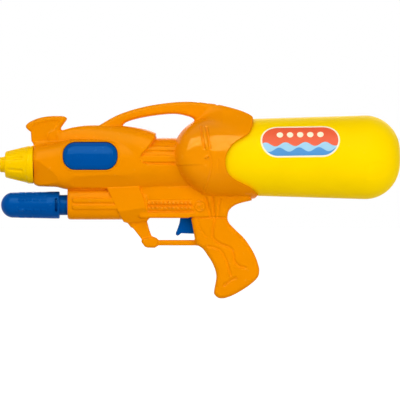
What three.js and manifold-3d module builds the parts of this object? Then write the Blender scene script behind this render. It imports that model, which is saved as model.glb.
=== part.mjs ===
// A hand-pumped water squirter: two moulded shell halves round a pump, a trigger valve, a barrel pipe
// and a screw-in bottle tank.
// Millimetres. The origin is the middle of the hand grip, the muzzle points to -X, +Z is up, and the
// two shell halves meet on the plane Y = 0, the left half on the -Y side.

import * as THREE from "three";
import { mergeVertices } from "three/addons/utils/BufferGeometryUtils.js";
import Module from "manifold-3d";

const wasm = await Module();
wasm.setup();

// Walls and fits
const shellWall = 2.2;
const beyond = 400;
const partingGap = 0.3;
const seatFit = 0.3;
const turnFit = 0.4;

// Heights of the main axes
const barrelAxisZ = 99.5;
const tankAxisZ = 107.5;
const pumpAxisZ = 55;

// Barrel and cowl stations: half width, reach above and below the barrel axis, and squareness
const barrelStations = [
  { x: -213.2, half: 20.6, up: 20.3, down: 20.8, power: 2 },
  { x: -210.8, half: 22.4, up: 21.2, down: 24, power: 2.1 },
  { x: -188, half: 25, up: 24, down: 24.7, power: 2.6 },
  { x: -180, half: 26.6, up: 26.4, down: 27, power: 2.8 },
  { x: -170, half: 27.8, up: 28.4, down: 28, power: 3 },
  { x: -140, half: 28.5, up: 29.2, down: 28, power: 3 },
  { x: -100, half: 28.5, up: 29.7, down: 27.8, power: 2.7 },
  { x: -30, half: 28.5, up: 29.7, down: 27, power: 2.4 },
];
const cowlStations = [
  { x: -188, half: 7, up: 36.5, down: 0, power: 2.8 },
  { x: -172, half: 10, up: 41, down: 0, power: 2.8 },
  { x: -158, half: 12.5, up: 43.2, down: 3, power: 2.8 },
  { x: -144, half: 16, up: 43.6, down: 6, power: 2.8 },
  { x: -124, half: 22, up: 43.4, down: 10, power: 2.7 },
  { x: -108, half: 27, up: 42.2, down: 14, power: 2.6 },
  { x: -92, half: 30, up: 39.6, down: 16, power: 2.6 },
  { x: -76, half: 30.4, up: 34.2, down: 18, power: 2.6 },
];
const ringSteps = 20;
const innerRingSteps = 14;

// Side outline of the cowl's top line and swept rear edge
const cowlTopLine = [
  [-186, 136.2],
  [-171.6, 140.5],
  [-158.4, 142.6],
  [-144, 143],
  [-124, 142.7],
  [-107.8, 141.4],
  [-92.4, 138.8],
  [-83.6, 136.2],
  [-79, 133.8],
];
const cowlRearEdge = [
  [-80.2, 129],
  [-84.5, 122],
  [-89.5, 115.5],
  [-94.6, 110],
  [-95.8, 104.5],
  [-93, 101],
];
const cowlFoot = [
  [-120, 92],
  [-186, 110],
];

// Front sight fin
const finThickness = 14;
const finBevel = 2;
const finOutline = [
  [-216.7, 135.3],
  [-220.8, 138.6],
  [-222.2, 141.8],
  [-218.9, 145.6],
  [-211.2, 149.4],
  [-202.4, 151.8],
  [-192.5, 152.8],
  [-182.6, 152.8],
  [-178.2, 151.6],
  [-177.3, 149.3],
  [-179.9, 145.4],
  [-183.4, 140.3],
  [-184.6, 136.6],
];
const finRoot = [
  [-182.6, 122],
  [-205, 113],
  [-212.9, 115],
  [-212.9, 121.2],
  [-216, 125],
];

// Carry handle
const handleThickness = 18;
const handleBevel = 3.6;
const handleHollowFit = 0.8;
const handleTop = [
  [-145, 140.8],
  [-120, 154.6],
  [-92, 163.2],
  [-64, 167.6],
  [-40, 168.6],
  [-14, 165.8],
  [9.9, 159.8],
  [22, 154.5],
  [28.4, 150],
];
const handleInside = [
  [-34.6, 147],
  [-42, 152],
  [-58, 155.2],
  [-78, 153.8],
  [-98, 150.4],
  [-111.5, 146.2],
  [-116.8, 141.6],
];
const handleRearFoot = [
  [24, 138],
  [-26, 136],
];
const handleFrontFoot = [
  [-118, 134],
  [-143, 134],
];
const thumbGrooveX = [-33, -22.6, -11.8];
const thumbGrooveRadius = 2;
const thumbGrooveDepth = 1;

// Rear dome that wraps the tank, with a horn above and below
const domeFrontX = -59.9;
const domeTankFit = 2;
const domeLength = 52;
const domeSides = 26;
const domeInnerSides = 16;
const hornEdge = [
  [30.5, 153],
  [28.6, 146],
  [27.2, 140.5],
  [23.5, 134],
  [9, 124.3],
  [0.8, 114.5],
  [-2.2, 103.5],
  [0, 92.5],
  [9.3, 82],
  [21.5, 75],
  [34.2, 65.4],
];
const hornHeel = [28, 60.6];
const hornFootZ = 30;

// Pump housing, slanted strap and lower frame
const housingFrontX = -176;
const housingRearX = -88;
const housingHalf = 16.6;
const housingDown = 16;
const housingUp = 19;
const housingLip = 1.7;
const housingEdge = 1.5;
const housingPower = 3;
const housingRibHalf = 3.4;
const housingRibProud = 1;
const housingRibLift = [5.6, -2];
const housingRibFrontX = -170.5;
const housingRibRearX = -114;
const housingRibSlant = 0.5;
const barrelRibProud = 0.8;
const barrelRibs = [
  { lift: 17.1, half: 3.3 },
  { lift: 5.5, half: 4.6 },
];
const barrelRibFrontX = -98;
const barrelRibRearX = -44;
const strapThickness = 37;
const strapBevel = 2;
const strapOutline = [
  [-133.1, 74],
  [-98, 76],
  [-95.7, 71.5],
  [-92.1, 62.7],
  [-88.9, 47.3],
  [-85.8, 41.1],
  [-89.3, 37],
  [-110, 35.2],
  [-114.4, 36.3],
  [-116.3, 39.6],
  [-120.5, 47.3],
  [-124.9, 57.2],
];
const frameThickness = 31;
const frameBevel = 1.6;
const frameFrontX = -97;
const frameRearX = -3;
const frameTopZ = 76;
const frameRearDrop = 8;
const frameDrop = 14.3;
const frameBottomZ = pumpAxisZ - frameDrop;
const frameDisc = { x: -30.8, z: 53.6, radius: 5.8, lift: 1 };

// Trigger guard
const guardThickness = 13;
const guardBevel = 1.5;
const guardBarBottomZ = 10.6;
const guardBarTopZ = 16.6;
const guardBarFrontX = -76.6;
const guardBarRearX = -32;
const guardStrutFront = [
  [-112.5, 38],
  [-106.7, 30.5],
  [-104.5, 29.7],
  [-94.8, 17.3],
  [-95, 14.3],
  [-91.3, 9.4],
  [-88.6, 8.3],
  [-80.3, 8.1],
];
const guardStrutRear = [
  [-78.7, 19],
  [-84, 20.9],
  [-86.9, 28.6],
  [-89.1, 37.2],
  [-94, 46],
  [-106, 46],
];

// Pistol grip
const gripThickness = 30;
const gripBevel = 4.5;
const gripHollowBevel = 3;
const gripOutline = [
  [26.4, 60.2],
  [9.9, 55.8],
  [1.5, 49.6],
  [-0.6, 41.3],
  [5.5, 30.3],
  [20.9, 12.7],
  [31, -5.5],
  [34.1, -17.6],
  [30.5, -26],
  [13.2, -38.5],
  [0, -45.8],
  [-8, -47],
  [-14, -43],
  [-14.6, -36.9],
  [-12.1, -25],
  [-15.5, -10],
  [-23, 3.4],
  [-34.6, 11.4],
];
const gripFront = [
  [-36.5, 17.6],
  [-38, 26.4],
  [-40.6, 40.2],
  [-40.6, 66],
  [22, 68],
];

// Blue barrel inserts
const insertX = -150.6;
const insertZ = 108.6;
const insertLength = 59.4;
const insertHeight = 30.2;
const insertCorner = 13.6;
const insertProud = 0.9;
const insertFlange = 3;
const insertFlangeThickness = 1.6;
const insertRimWidth = 2.2;
const insertRimProud = 0.7;
const insertHalfGap = 4;

// Nozzle and barrel pipe
const nozzleTipX = -250.8;
const nozzleRearX = -213.5;
const nozzleTipRadius = 7.2;
const nozzleStepX = -245.6;
const nozzleNeckRadius = 13.6;
const nozzleConeX = -224;
const nozzleConeRadius = 18.8;
const nozzleRimRadius = 20.4;
const nozzleRimWall = 2.6;
const nozzleTipEdge = 0.8;
const nozzleNeckEdge = 1.6;
const nozzleRimRise = 3;
const nozzleSkirtX = -220;
const nozzleFloorX = -238;
const jetRadius = 1.2;
const fluteCount = 8;
const fluteRadius = 2.6;
const fluteDepth = 1.3;
const fluteLength = 19;
const spigotRadius = 9;
const washerThickness = 1.5;
const pipeRadius = 5;
const pipeBore = 1.8;
const pipeFlangeRadius = 12;
const pipeFlangeThickness = 2.6;
const pipeRearX = -88;
const noseRib = 2.4;
const pipeRibX = -100;
const pipeRibUp = 12;
const pipeRibDown = 26;

// Hoses and the spigots that they push on to
const hoseRadius = 3.7;
const hoseBore = 3;
const spigotFit = 2.5;
const spigotBore = 1.2;
const spigotLength = 8;
const elbowX = -50.5;
const elbowY = 8;
const elbowDrop = 4.5;
const elbowEndDrop = 20;
const elbowWall = 0.8;

// Pump
const rodRadius = 11.2;
const rodWall = 1.8;
const cylinderWall = 1;
const pistonFit = 0.4;
const cylinderRearX = -62;
const bushLength = 8;
const handleFrontX = -249.7;
const handleRearX = -185;
const handleRadius = 15;
const handleTaper = 1;
const handleNose = 13.5;
const handleEdge = 1.6;
const rodInsert = 20;
const handleWall = 3.2;
const lugSlot = 1.8;
const lugSpan = 12;
const lugInset = 2.2;
const lugProud = 1.2;
const pistonX = -68;
const pistonThickness = 5.6;
const pistonPlug = 5;
const pistonRingThickness = 1.9;
const pistonRingDepth = 1.7;
const seatPlug = 3.7;
const seatFlange = 2;
const capThickness = 6.2;
const flapRadius = 5.4;
const flapThickness = 1;

// Tank, its socket and pick-up tube
const tankEndX = 188.7;
const tankRadius = 45.9;
const tankFrontRadius = 41.4;
const tankShoulderX = 4;
const tankCorner = 38;
const tankWall = 2;
const neckRadius = 18.6;
const neckWall = 2;
const neckMouthX = -39.9;
const neckRootX = -24;
const shoulderReach = 6;
const shoulderFoot = 3;
const shoulderRise = 8;
const gasketThickness = 1.5;
const gasketWidth = 3.5;
const socketWall = 3.1;
const socketFloor = 4;
const socketLength = 15;
const socketFlangeRadius = 27;
const socketFlangeThickness = 2.5;
const socketFlangeX = -36.8;
const bulkhead = 2.5;
const bulkheadWindow = 27;
const tankSides = 24;

// Trigger and valve
const pinX = -45;
const pinDrop = 5.5;
const pinZ = pumpAxisZ - pinDrop;
const pinRadius = 1.8;
const pinHalfLength = 12;
const pinBossRadius = 4.6;
const triggerThickness = 9;
const triggerBevel = 1;
const triggerBossRadius = 5;
const triggerRear = 12;
const triggerSideFit = 0.5;
const triggerRoom = 2;
const triggerSlot = { front: 14, rear: 21, top: 4, bottom: 31 };
const triggerBlade = [
  [-7.6, -9.3],
  [-8.4, -14.3],
  [-10.6, -20.9],
  [-12.3, -24.7],
  [-12.4, -27],
  [-10.8, -28.4],
  [-8.9, -27.6],
  [-6.7, -25.6],
  [triggerRear - 1, -26.2],
  [triggerRear, -25.2],
];
const triggerShoulderRise = 5;
const triggerShoulderDrop = 4;
const valveDrop = 13.5;
const valveZ = pinZ - valveDrop;
const valveFrontX = -24;
const valveRearX = -3;
const valveRadius = 6.5;
const valveBore = 4.4;
const valveRearWall = 2;
const inletX = -20.5;
const outletX = -12.5;
const valveSpigotTop = 16;
const glandFlange = 1.7;
const glandPlug = 2.5;
const stemRadius = 2;
const stemHeadX = -13;
const stemHeadLength = 4;
const stemRingThickness = 1.6;
const stemRingDepth = 1;
const buttonRadius = 3;
const buttonThickness = 1.6;
const springTurns = 4;
const springWire = 0.7;
const springCoilRadius = 3.1;
const valveSides = 14;
const valveRib = 2;
const valveRibHalfHeight = 7.5;
const valveRibOffset = 4.5;
const valveRoom = 6;
const ringProud = 0.1;

// Shell screws, all driven from the right-hand side to the same depth
const screwPlaces = [
  [-200, 138],
  [-127, 134.5],
  [4.4, 157],
  [-182, 82.5],
  [-75, 83],
  [-87.5, 14.6],
  [-6, 16.5],
  [2, -33],
];
const screwSeatY = 2.2;
const screwHeadRadius = 3;
const screwHeadHeight = 1.9;
const screwShankRadius = 1.3;
const screwShankLength = 6.6;
const screwPoint = 2;
const screwBossRadius = 5.2;

// Numbers of sides
const roundSides = 14;
const shownSides = 20;
const smallSides = 8;
const bossSides = 6;
const cornerSteps = 2;
const arcSteps = 3;
const chordTolerance = 0.1;
const hoseSides = 6;
const screwSides = 8;
const wireSides = 5;

// Materials, one object per mesh
const finishes = {
  orange: { color: 0xf2920a, roughness: 0.35, metalness: 0 },
  yellow: { color: 0xffd800, roughness: 0.3, metalness: 0 },
  blue: { color: 0x0655a4, roughness: 0.35, metalness: 0 },
  ivory: { color: 0xe9e4d2, roughness: 0.5, metalness: 0 },
  rubber: { color: 0x232323, roughness: 0.8, metalness: 0 },
  hose: { color: 0xcfd8da, roughness: 0.4, metalness: 0 },
  steel: { color: 0xb5b8bb, roughness: 0.35, metalness: 1 },
};

// Solids from closed geometry
function solid(geometry) {
  const bare = new THREE.BufferGeometry();
  bare.setAttribute("position", geometry.getAttribute("position"));
  bare.setIndex(geometry.index);
  const merged = mergeVertices(bare, 1e-4);
  const corners = merged.index.array;
  const kept = [];
  for (let i = 0; i < corners.length; i += 3) {
    const [a, b, c] = [corners[i], corners[i + 1], corners[i + 2]];
    if (a !== b && b !== c && c !== a) kept.push(a, b, c);
  }
  const vertProperties = new Float32Array(merged.getAttribute("position").array);
  const build = (list) => {
    const triVerts = new Uint32Array(list);
    return new wasm.Manifold(new wasm.Mesh({ numProp: 3, vertProperties, triVerts }));
  };
  const made = build(kept);
  return made.volume() < 0 ? build(kept.reverse()) : made;
}

function geometryOf(manifold) {
  const mesh = manifold.getMesh();
  const geometry = new THREE.BufferGeometry();
  geometry.setAttribute("position", new THREE.BufferAttribute(mesh.vertProperties, 3));
  geometry.setIndex(new THREE.BufferAttribute(mesh.triVerts, 1));
  geometry.computeVertexNormals();
  return geometry;
}

const union = (solids) => solids.reduce((sum, next) => sum.add(next));
const cut = (body, tools) => tools.reduce((rest, tool) => rest.subtract(tool), body);

// A solid of revolution about the X axis, from points of distance along X and radius
function revolve(points, sides = roundSides) {
  const profile = points.map(([along, radius]) => new THREE.Vector2(radius, along));
  return new THREE.LatheGeometry(profile, sides).rotateZ(-Math.PI / 2);
}

// A ring or tube about the X axis
function tube(fromX, toX, outer, inner, sides = roundSides) {
  const loop = [
    [fromX, inner],
    [fromX, outer],
    [toX, outer],
    [toX, inner],
    [fromX, inner],
  ];
  return revolve(loop, sides);
}

function rodX(fromX, toX, radius, sides = roundSides) {
  const profile = [
    [fromX, 0],
    [fromX, radius],
    [toX, radius],
    [toX, 0],
  ];
  return revolve(profile, sides);
}

function rodY(x, z, fromY, toY, radius, sides = smallSides) {
  return rodX(fromY, toY, radius, sides).rotateZ(Math.PI / 2).translate(x, 0, z);
}

function rodZ(x, y, fromZ, toZ, radius, sides = smallSides) {
  return rodX(fromZ, toZ, radius, sides).rotateY(-Math.PI / 2).translate(x, y, 0);
}

function box(x0, x1, y0, y1, z0, z1) {
  const made = new THREE.BoxGeometry(x1 - x0, y1 - y0, z1 - z0);
  return made.translate((x0 + x1) / 2, (y0 + y1) / 2, (z0 + z1) / 2);
}

const toVectors = (points) => points.map(([x, z]) => new THREE.Vector2(x, z));

// A smooth curve through points, in steps
const smoothLine = (points, steps = 2) =>
  new THREE.SplineCurve(toVectors(points)).getPoints(points.length * steps);

// A closed side outline: a smooth curve through the first points, then straight to the others
const outline = (curve, corners, steps = 2) =>
  new THREE.Shape([...smoothLine(curve, steps), ...toVectors(corners)]);

// A shape's points moved inwards by a distance
function insetPoints(points, distance) {
  const turn = THREE.ShapeUtils.isClockWise(points) ? -1 : 1;
  return points.map((point, i) => {
    const before = points[(i + points.length - 1) % points.length];
    const after = points[(i + 1) % points.length];
    const along = after.clone().sub(before).normalize();
    const step = distance * turn;
    return new THREE.Vector2(point.x - along.y * step, point.y + along.x * step);
  });
}

const inset = (shape, distance) => new THREE.Shape(insetPoints(shape.getPoints(), distance));

// A side outline given thickness across Y, with rounded edges that keep the outline's size
function slab(shape, fromY, toY, bevel = 0, steps = 3) {
  const points = shape.getPoints(cornerSteps);
  if (points[0].distanceTo(points[points.length - 1]) < 1e-6) points.pop();
  if (THREE.ShapeUtils.isClockWise(points)) points.reverse();
  const edge = bevel ? Array.from({ length: steps + 1 }, (_, i) => (i / steps) * (Math.PI / 2)) : [0];
  const near = edge.map((angle) => ({
    y: fromY + bevel * (1 - Math.sin(angle)),
    inset: bevel * (1 - Math.cos(angle)),
  }));
  const far = near.map((level) => ({ y: fromY + toY - level.y, inset: level.inset }));
  const levels = [...near.reverse(), ...far];
  const rings = levels.map((level) =>
    insetPoints(points, level.inset).map((point) => [point.x, level.y, point.y]),
  );
  return closeRings(rings, THREE.ShapeUtils.triangulateShape(points, []));
}

const slabAcross = (shape, thickness, bevel, steps) =>
  slab(shape, -thickness / 2, thickness / 2, bevel, steps);

// Rings of equal length joined into one closed surface, with the same cap at both ends
function closeRings(rings, cap) {
  const count = rings[0].length;
  const index = [];
  for (let ring = 0; ring < rings.length - 1; ring += 1) {
    for (let i = 0; i < count; i += 1) {
      const next = (i + 1) % count;
      const [a, b] = [ring * count + i, ring * count + next];
      index.push(a, b, b + count, a, b + count, a + count);
    }
  }
  const end = (rings.length - 1) * count;
  cap.forEach(([a, b, c]) => index.push(a, c, b, end + a, end + b, end + c));
  const made = new THREE.BufferGeometry();
  made.setAttribute("position", new THREE.Float32BufferAttribute(rings.flat(2), 3));
  made.setIndex(index);
  return made;
}

// A loft of squared ovals along X, grown or shrunk by an offset
function loft(stations, axisZ, offset = 0) {
  const steps = offset < 0 ? innerRingSteps : ringSteps;
  const rings = stations.map((station) => {
    const half = station.half + offset;
    const high = (station.up + station.down) / 2 + offset;
    const middle = axisZ + (station.up - station.down) / 2;
    const bend = (value) => Math.sign(value) * Math.abs(value) ** (2 / station.power);
    return Array.from({ length: steps }, (_, i) => {
      const angle = ((i + 0.5) / steps) * 2 * Math.PI;
      return [station.x, half * bend(Math.cos(angle)), middle + high * bend(Math.sin(angle))];
    });
  });
  const fan = Array.from({ length: steps - 2 }, (_, i) => [0, i + 1, i + 2]);
  return closeRings(rings, fan);
}

// The corners of a regular polygon
function polygon(radius, sides) {
  return Array.from({ length: sides }, (_, i) => {
    const angle = (i / sides) * 2 * Math.PI;
    return new THREE.Vector2(radius * Math.cos(angle), radius * Math.sin(angle));
  });
}

// A hose along points in space, with its bore
function hose(points, steps) {
  const ring = new THREE.Shape(polygon(hoseRadius, hoseSides));
  ring.holes.push(new THREE.Path(polygon(hoseBore, hoseSides).reverse()));
  const path = new THREE.CatmullRomCurve3(points.map((point) => new THREE.Vector3(...point)));
  return new THREE.ExtrudeGeometry(ring, { steps, extrudePath: path });
}

// A coil spring about the X axis, as one tube
function spring(fromX, toX) {
  const turnsLength = toX - fromX - springWire;
  class Coil extends THREE.Curve {
    getPoint(t, target = new THREE.Vector3()) {
      const angle = t * springTurns * 2 * Math.PI;
      const x = fromX + springWire / 2 + t * turnsLength;
      return target.set(x, springCoilRadius * Math.cos(angle), springCoilRadius * Math.sin(angle));
    }
  }
  const wire = new THREE.Shape(polygon(springWire / 2, wireSides));
  const stepsPerTurn = 7;
  const path = new Coil();
  const leastGap = turnsLength / springTurns - springWire;
  console.log("spring's least gap between turns", leastGap.toFixed(2), "mm");
  return new THREE.ExtrudeGeometry(wire, {
    steps: springTurns * stepsPerTurn,
    extrudePath: path,
  });
}

const part = new THREE.Group();
part.name = "water_squirter";

function axisGroup(x, z) {
  const group = new THREE.Group();
  group.position.set(x, 0, z);
  part.add(group);
  return group;
}

function piece(group, name, body, finish) {
  const material = new THREE.MeshStandardMaterial(finishes[finish]);
  const mesh = new THREE.Mesh(geometryOf(body.simplify(chordTolerance)), material);
  mesh.name = name;
  group.add(mesh);
  return mesh;
}

// Sizes that follow from the driving dimensions
const domeRadius = tankFrontRadius + domeTankFit + shellWall;
const domeX = domeFrontX + domeRadius;
const cylinderBore = rodRadius + pistonFit;
const cylinderRadius = cylinderBore + cylinderWall;
const pumpBore = cylinderRadius + seatFit;
const bushFrontX = housingFrontX + housingLip + seatFit;
const cylinderFrontX = bushFrontX + bushLength + seatFit;
const seatRearX = cylinderRearX + seatFit + seatFlange;
const capFrontX = seatRearX + seatFit;
const capRearX = capFrontX + capThickness;
const capSpigotX = capFrontX + capThickness / 2;
const capSpigotTopZ = pumpAxisZ + cylinderRadius + spigotLength / 2;
const noseX = barrelStations[0].x;
const spigotFrontX = nozzleFloorX + washerThickness + 2 * seatFit;
const pipeFlangeX = noseX + seatFit - pipeFlangeThickness - 2 * seatFit;
const noseRibX = pipeFlangeX + pipeFlangeThickness + seatFit;
const socketBore = neckRadius + turnFit;
const socketRadius = socketBore + socketWall;
const socketFloorX = neckMouthX - gasketThickness - 2 * seatFit;
const socketFrontX = socketFloorX - socketFloor;
const socketRearX = socketFloorX + socketLength;
const elbowRadius = spigotFit + elbowWall;
const elbowZ = tankAxisZ - elbowDrop;
const elbowEndZ = tankAxisZ - elbowEndDrop;

// Barrel insert outline, grown by a margin
function insertShape(margin) {
  const [x, z] = [insertLength / 2 + margin, insertHeight / 2 + margin];
  const corner = insertCorner + margin;
  const shape = new THREE.Shape();
  shape.moveTo(insertX - x + corner, insertZ - z);
  shape.lineTo(insertX + x - corner, insertZ - z);
  shape.absarc(insertX + x - corner, insertZ - z + corner, corner, -Math.PI / 2, 0);
  shape.absarc(insertX + x - corner, insertZ + z - corner, corner, 0, Math.PI / 2);
  shape.absarc(insertX - x + corner, insertZ + z - corner, corner, Math.PI / 2, Math.PI);
  shape.absarc(insertX - x + corner, insertZ - z + corner, corner, Math.PI, 1.5 * Math.PI);
  return shape;
}

const barrelForm = (offset) => solid(loft(barrelStations, barrelAxisZ, offset));

function cowlForm(offset) {
  const shape = new THREE.Shape([
    ...smoothLine(cowlTopLine, 1),
    ...smoothLine(cowlRearEdge, 2),
    ...toVectors(cowlFoot),
  ]);
  const side = slabAcross(shape, beyond).translate(offset, 0, offset);
  return solid(loft(cowlStations, barrelAxisZ, offset)).intersect(solid(side));
}

// The dome's hemisphere and sleeve
function domeForm(radius, endX, sides) {
  const arc = new THREE.Path().absarc(domeX, 0, radius, Math.PI, Math.PI / 2, true);
  const points = arc.getPoints(arcSteps).map((point) => [point.x, point.y]);
  points.push([endX, radius], [endX, 0]);
  points[0][1] = 0;
  return solid(revolve(points, sides).translate(0, 0, tankAxisZ));
}

const handleShape = (steps) =>
  new THREE.Shape([
    ...smoothLine(handleTop, steps),
    ...toVectors(handleRearFoot),
    ...smoothLine(handleInside, steps),
    ...toVectors(handleFrontFoot),
  ]);

function handleForm() {
  const shape = handleShape(2);
  const grooves = thumbGrooveX.map((x) => {
    const nearer = (best, p) => (Math.abs(p.x - x) < Math.abs(best.x - x) ? p : best);
    const near = smoothLine(handleTop).reduce(nearer);
    const z = near.y + thumbGrooveRadius - thumbGrooveDepth;
    return solid(rodY(x, z, -handleThickness, handleThickness, thumbGrooveRadius));
  });
  return cut(solid(slabAcross(shape, handleThickness, handleBevel, 2)), grooves);
}

// A wide, low rib on each side, on the wall of a squared oval at a height above its axis
function sideRibs(oval, axisZ, lift, { fromX, toX, half, proud }) {
  const share = Math.abs(2 * lift - oval.up + oval.down) / (oval.up + oval.down);
  const wallY = oval.half * (1 - share ** oval.power) ** (1 / oval.power);
  const bar = () => rodX(fromX, toX, half, smallSides).scale(1, (2 * proud) / half, 1);
  return [-1, 1].map((side) => solid(bar().translate(0, side * (wallY - proud), axisZ + lift)));
}

function barrelRibForms() {
  const oval = barrelStations[barrelStations.length - 1];
  return barrelRibs.flatMap(({ lift, half }) =>
    sideRibs(oval, barrelAxisZ, lift, {
      fromX: barrelRibFrontX,
      toX: barrelRibRearX,
      half,
      proud: barrelRibProud,
    }),
  );
}

function housingForm() {
  const end = { half: housingHalf, up: housingUp, down: housingDown, power: housingPower };
  const edge = { ...end, half: housingHalf - housingEdge, down: housingDown - housingEdge };
  const stations = [
    { ...edge, x: housingFrontX },
    { ...end, x: housingFrontX + housingEdge },
    { ...end, x: housingRearX },
  ];
  const body = solid(loft(stations, pumpAxisZ));
  const ribs = housingRibLift.flatMap((lift) =>
    sideRibs(end, pumpAxisZ, lift, {
      fromX: housingRibFrontX,
      toX: housingRibRearX - lift * housingRibSlant,
      half: housingRibHalf,
      proud: housingRibProud,
    }),
  );
  return union([body, ...ribs]);
}

function guardForm() {
  const shape = new THREE.Shape(
    toVectors([
      ...guardStrutFront,
      [guardBarFrontX, guardBarBottomZ],
      [guardBarRearX, guardBarBottomZ],
      [guardBarRearX, guardBarTopZ],
      [guardBarFrontX, guardBarTopZ],
      ...guardStrutRear,
    ]),
  );
  return solid(slabAcross(shape, guardThickness, guardBevel, 1));
}

const gripShape = outline(gripOutline, gripFront);

function frameForm() {
  const corners = [
    [frameFrontX, frameBottomZ],
    [frameRearX, frameBottomZ],
    [frameRearX, frameTopZ - frameRearDrop],
    [domeX - domeRadius / 2, frameTopZ],
    [frameFrontX, frameTopZ],
  ];
  const body = solid(slabAcross(new THREE.Shape(toVectors(corners)), frameThickness, frameBevel, 1));
  const reach = frameThickness / 2 + frameDisc.lift;
  const disc = solid(rodY(frameDisc.x, frameDisc.z, -reach, reach, frameDisc.radius, roundSides));
  return body.add(disc);
}

// Everything that the horn edge trims away, behind the dome
function hornCut(shift = 0) {
  const behind = [
    hornHeel,
    [hornHeel[0], hornFootZ],
    [beyond, hornFootZ],
    [beyond, beyond],
    [hornEdge[0][0], beyond],
  ];
  return solid(slabAcross(outline(hornEdge, behind), beyond).translate(shift, 0, 0));
}

// The outside of both halves together
function outerForm() {
  const rear = domeForm(domeRadius, domeX + domeLength, domeSides).add(handleForm()).subtract(hornCut());
  const fin = solid(slabAcross(outline(finOutline, finRoot), finThickness, finBevel, 1));
  const strap = solid(slabAcross(new THREE.Shape(toVectors(strapOutline)), strapThickness, strapBevel, 1));
  const grip = solid(slabAcross(gripShape, gripThickness, gripBevel, 2));
  const rim = solid(slabAcross(insertShape(insertRimWidth), beyond)).intersect(barrelForm(insertRimProud));
  return union([
    barrelForm(0),
    ...barrelRibForms(),
    rim,
    cowlForm(0),
    fin,
    rear,
    housingForm(),
    strap,
    frameForm(),
    guardForm(),
    grip,
  ]);
}

// The hollow that both halves share
function innerForm() {
  const handleLine = inset(handleShape(1), shellWall + handleHollowFit);
  const handle = solid(slabAcross(handleLine, handleThickness - 2 * shellWall));
  const gripLine = inset(outline(gripOutline, gripFront, 1), shellWall);
  const grip = solid(slabAcross(gripLine, gripThickness - 2 * shellWall, gripHollowBevel, 1));
  const side = frameThickness / 2 - shellWall;
  const floor = frameBottomZ + shellWall;
  const ceiling = frameTopZ + 2 * shellWall;
  const receiver = solid(box(cylinderRearX - seatFit, frameRearX - shellWall, -side, side, floor, ceiling));
  return union([
    barrelForm(-shellWall),
    cowlForm(-shellWall),
    domeForm(domeRadius - shellWall, domeX + 2 * domeLength, domeInnerSides),
    handle.subtract(hornCut(-shellWall)),
    grip,
    receiver,
  ]);
}

function shellPlates(inner, outer) {
  const slice = (x, thickness, z0, z1) =>
    solid(box(x, x + thickness, -beyond, beyond, z0, z1)).intersect(inner);
  const nose = slice(noseRibX, noseRib, -beyond, beyond);
  const pipe = slice(pipeRibX, noseRib, barrelAxisZ - pipeRibDown, barrelAxisZ + pipeRibUp);
  const front = socketFlangeX - seatFit - bulkhead;
  const behind = socketFlangeX + socketFlangeThickness + seatFit;
  const heads = [front, behind].map((x) => slice(x, bulkhead, tankAxisZ - bulkheadWindow, beyond));
  const ribs = [inletX - valveRibOffset, outletX + valveRibOffset].map((x) =>
    slice(x, valveRib, valveZ - valveRibHalfHeight, valveZ + valveRibHalfHeight),
  );
  const post = (x, z, radius) => solid(rodY(x, z, -beyond, beyond, radius, bossSides)).intersect(outer);
  const bosses = screwPlaces.map(([x, z]) => post(x, z, screwBossRadius));
  return [nose, pipe, ...heads, ...ribs, ...bosses, post(pinX, pinZ, pinBossRadius)];
}

function shellCuts() {
  const pump = rodX(bushFrontX - seatFit, capRearX + seatFit, pumpBore);
  const lip = rodX(housingFrontX - housingLip, bushFrontX, rodRadius + 2 * seatFit);
  const pipe = rodX(noseX - noseRib, pipeRibX + 2 * noseRib, pipeRadius + seatFit);
  const socket = rodX(socketFrontX, socketRearX, socketRadius + seatFit, shownSides);
  const valve = rodX(valveFrontX - valveRoom, valveRearX + valveRoom, valveRadius + seatFit, valveSides);
  const half = triggerThickness / 2 + triggerSideFit;
  const slotX = [pinX - triggerSlot.front, pinX + triggerSlot.rear];
  const slot = box(...slotX, -half, half, pinZ - triggerSlot.bottom, pinZ - triggerSlot.top);
  const clear = triggerBossRadius + triggerRoom;
  const room = box(pinX - clear, pinX + clear, -half, half, pinZ - clear, pinZ + clear);
  const window = slabAcross(insertShape(0), beyond);
  const shankEndY = screwSeatY - screwShankLength - 2 * seatFit;
  const screws = screwPlaces.flatMap(([x, z]) => [
    rodY(x, z, screwSeatY - seatFit, beyond, screwHeadRadius + seatFit),
    rodY(x, z, shankEndY, screwSeatY, screwShankRadius + seatFit),
  ]);
  const pin = rodY(pinX, pinZ, -pinHalfLength - seatFit, pinHalfLength + seatFit, pinRadius + seatFit);
  const shapes = [
    pump.translate(0, 0, pumpAxisZ),
    lip.translate(0, 0, pumpAxisZ),
    pipe.translate(0, 0, barrelAxisZ),
    socket.translate(0, 0, tankAxisZ),
    valve.translate(0, 0, valveZ),
    slot,
    room,
    window,
    ...screws,
    pin,
  ];
  return shapes.map(solid);
}

// The one body that is left when crumbs of no volume are dropped
function mainBody(body) {
  const bodies = body.simplify(chordTolerance).decompose();
  return bodies.reduce((best, next) => (next.volume() > best.volume() ? next : best));
}

// Shell halves
function addShells() {
  const outer = outerForm();
  const inner = innerForm();
  const hollow = outer.subtract(inner);
  const whole = cut(union([hollow, ...shellPlates(inner, outer)]), shellCuts());
  const gap = partingGap / 2;
  const leftSide = solid(box(-beyond, beyond, -beyond, -gap, -beyond, beyond));
  const rightSide = solid(box(-beyond, beyond, gap, beyond, -beyond, beyond));
  const group = axisGroup(0, 0);
  piece(group, "left_shell", mainBody(whole.intersect(leftSide)), "orange");
  piece(group, "right_shell", mainBody(whole.intersect(rightSide)), "orange");
}

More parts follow.
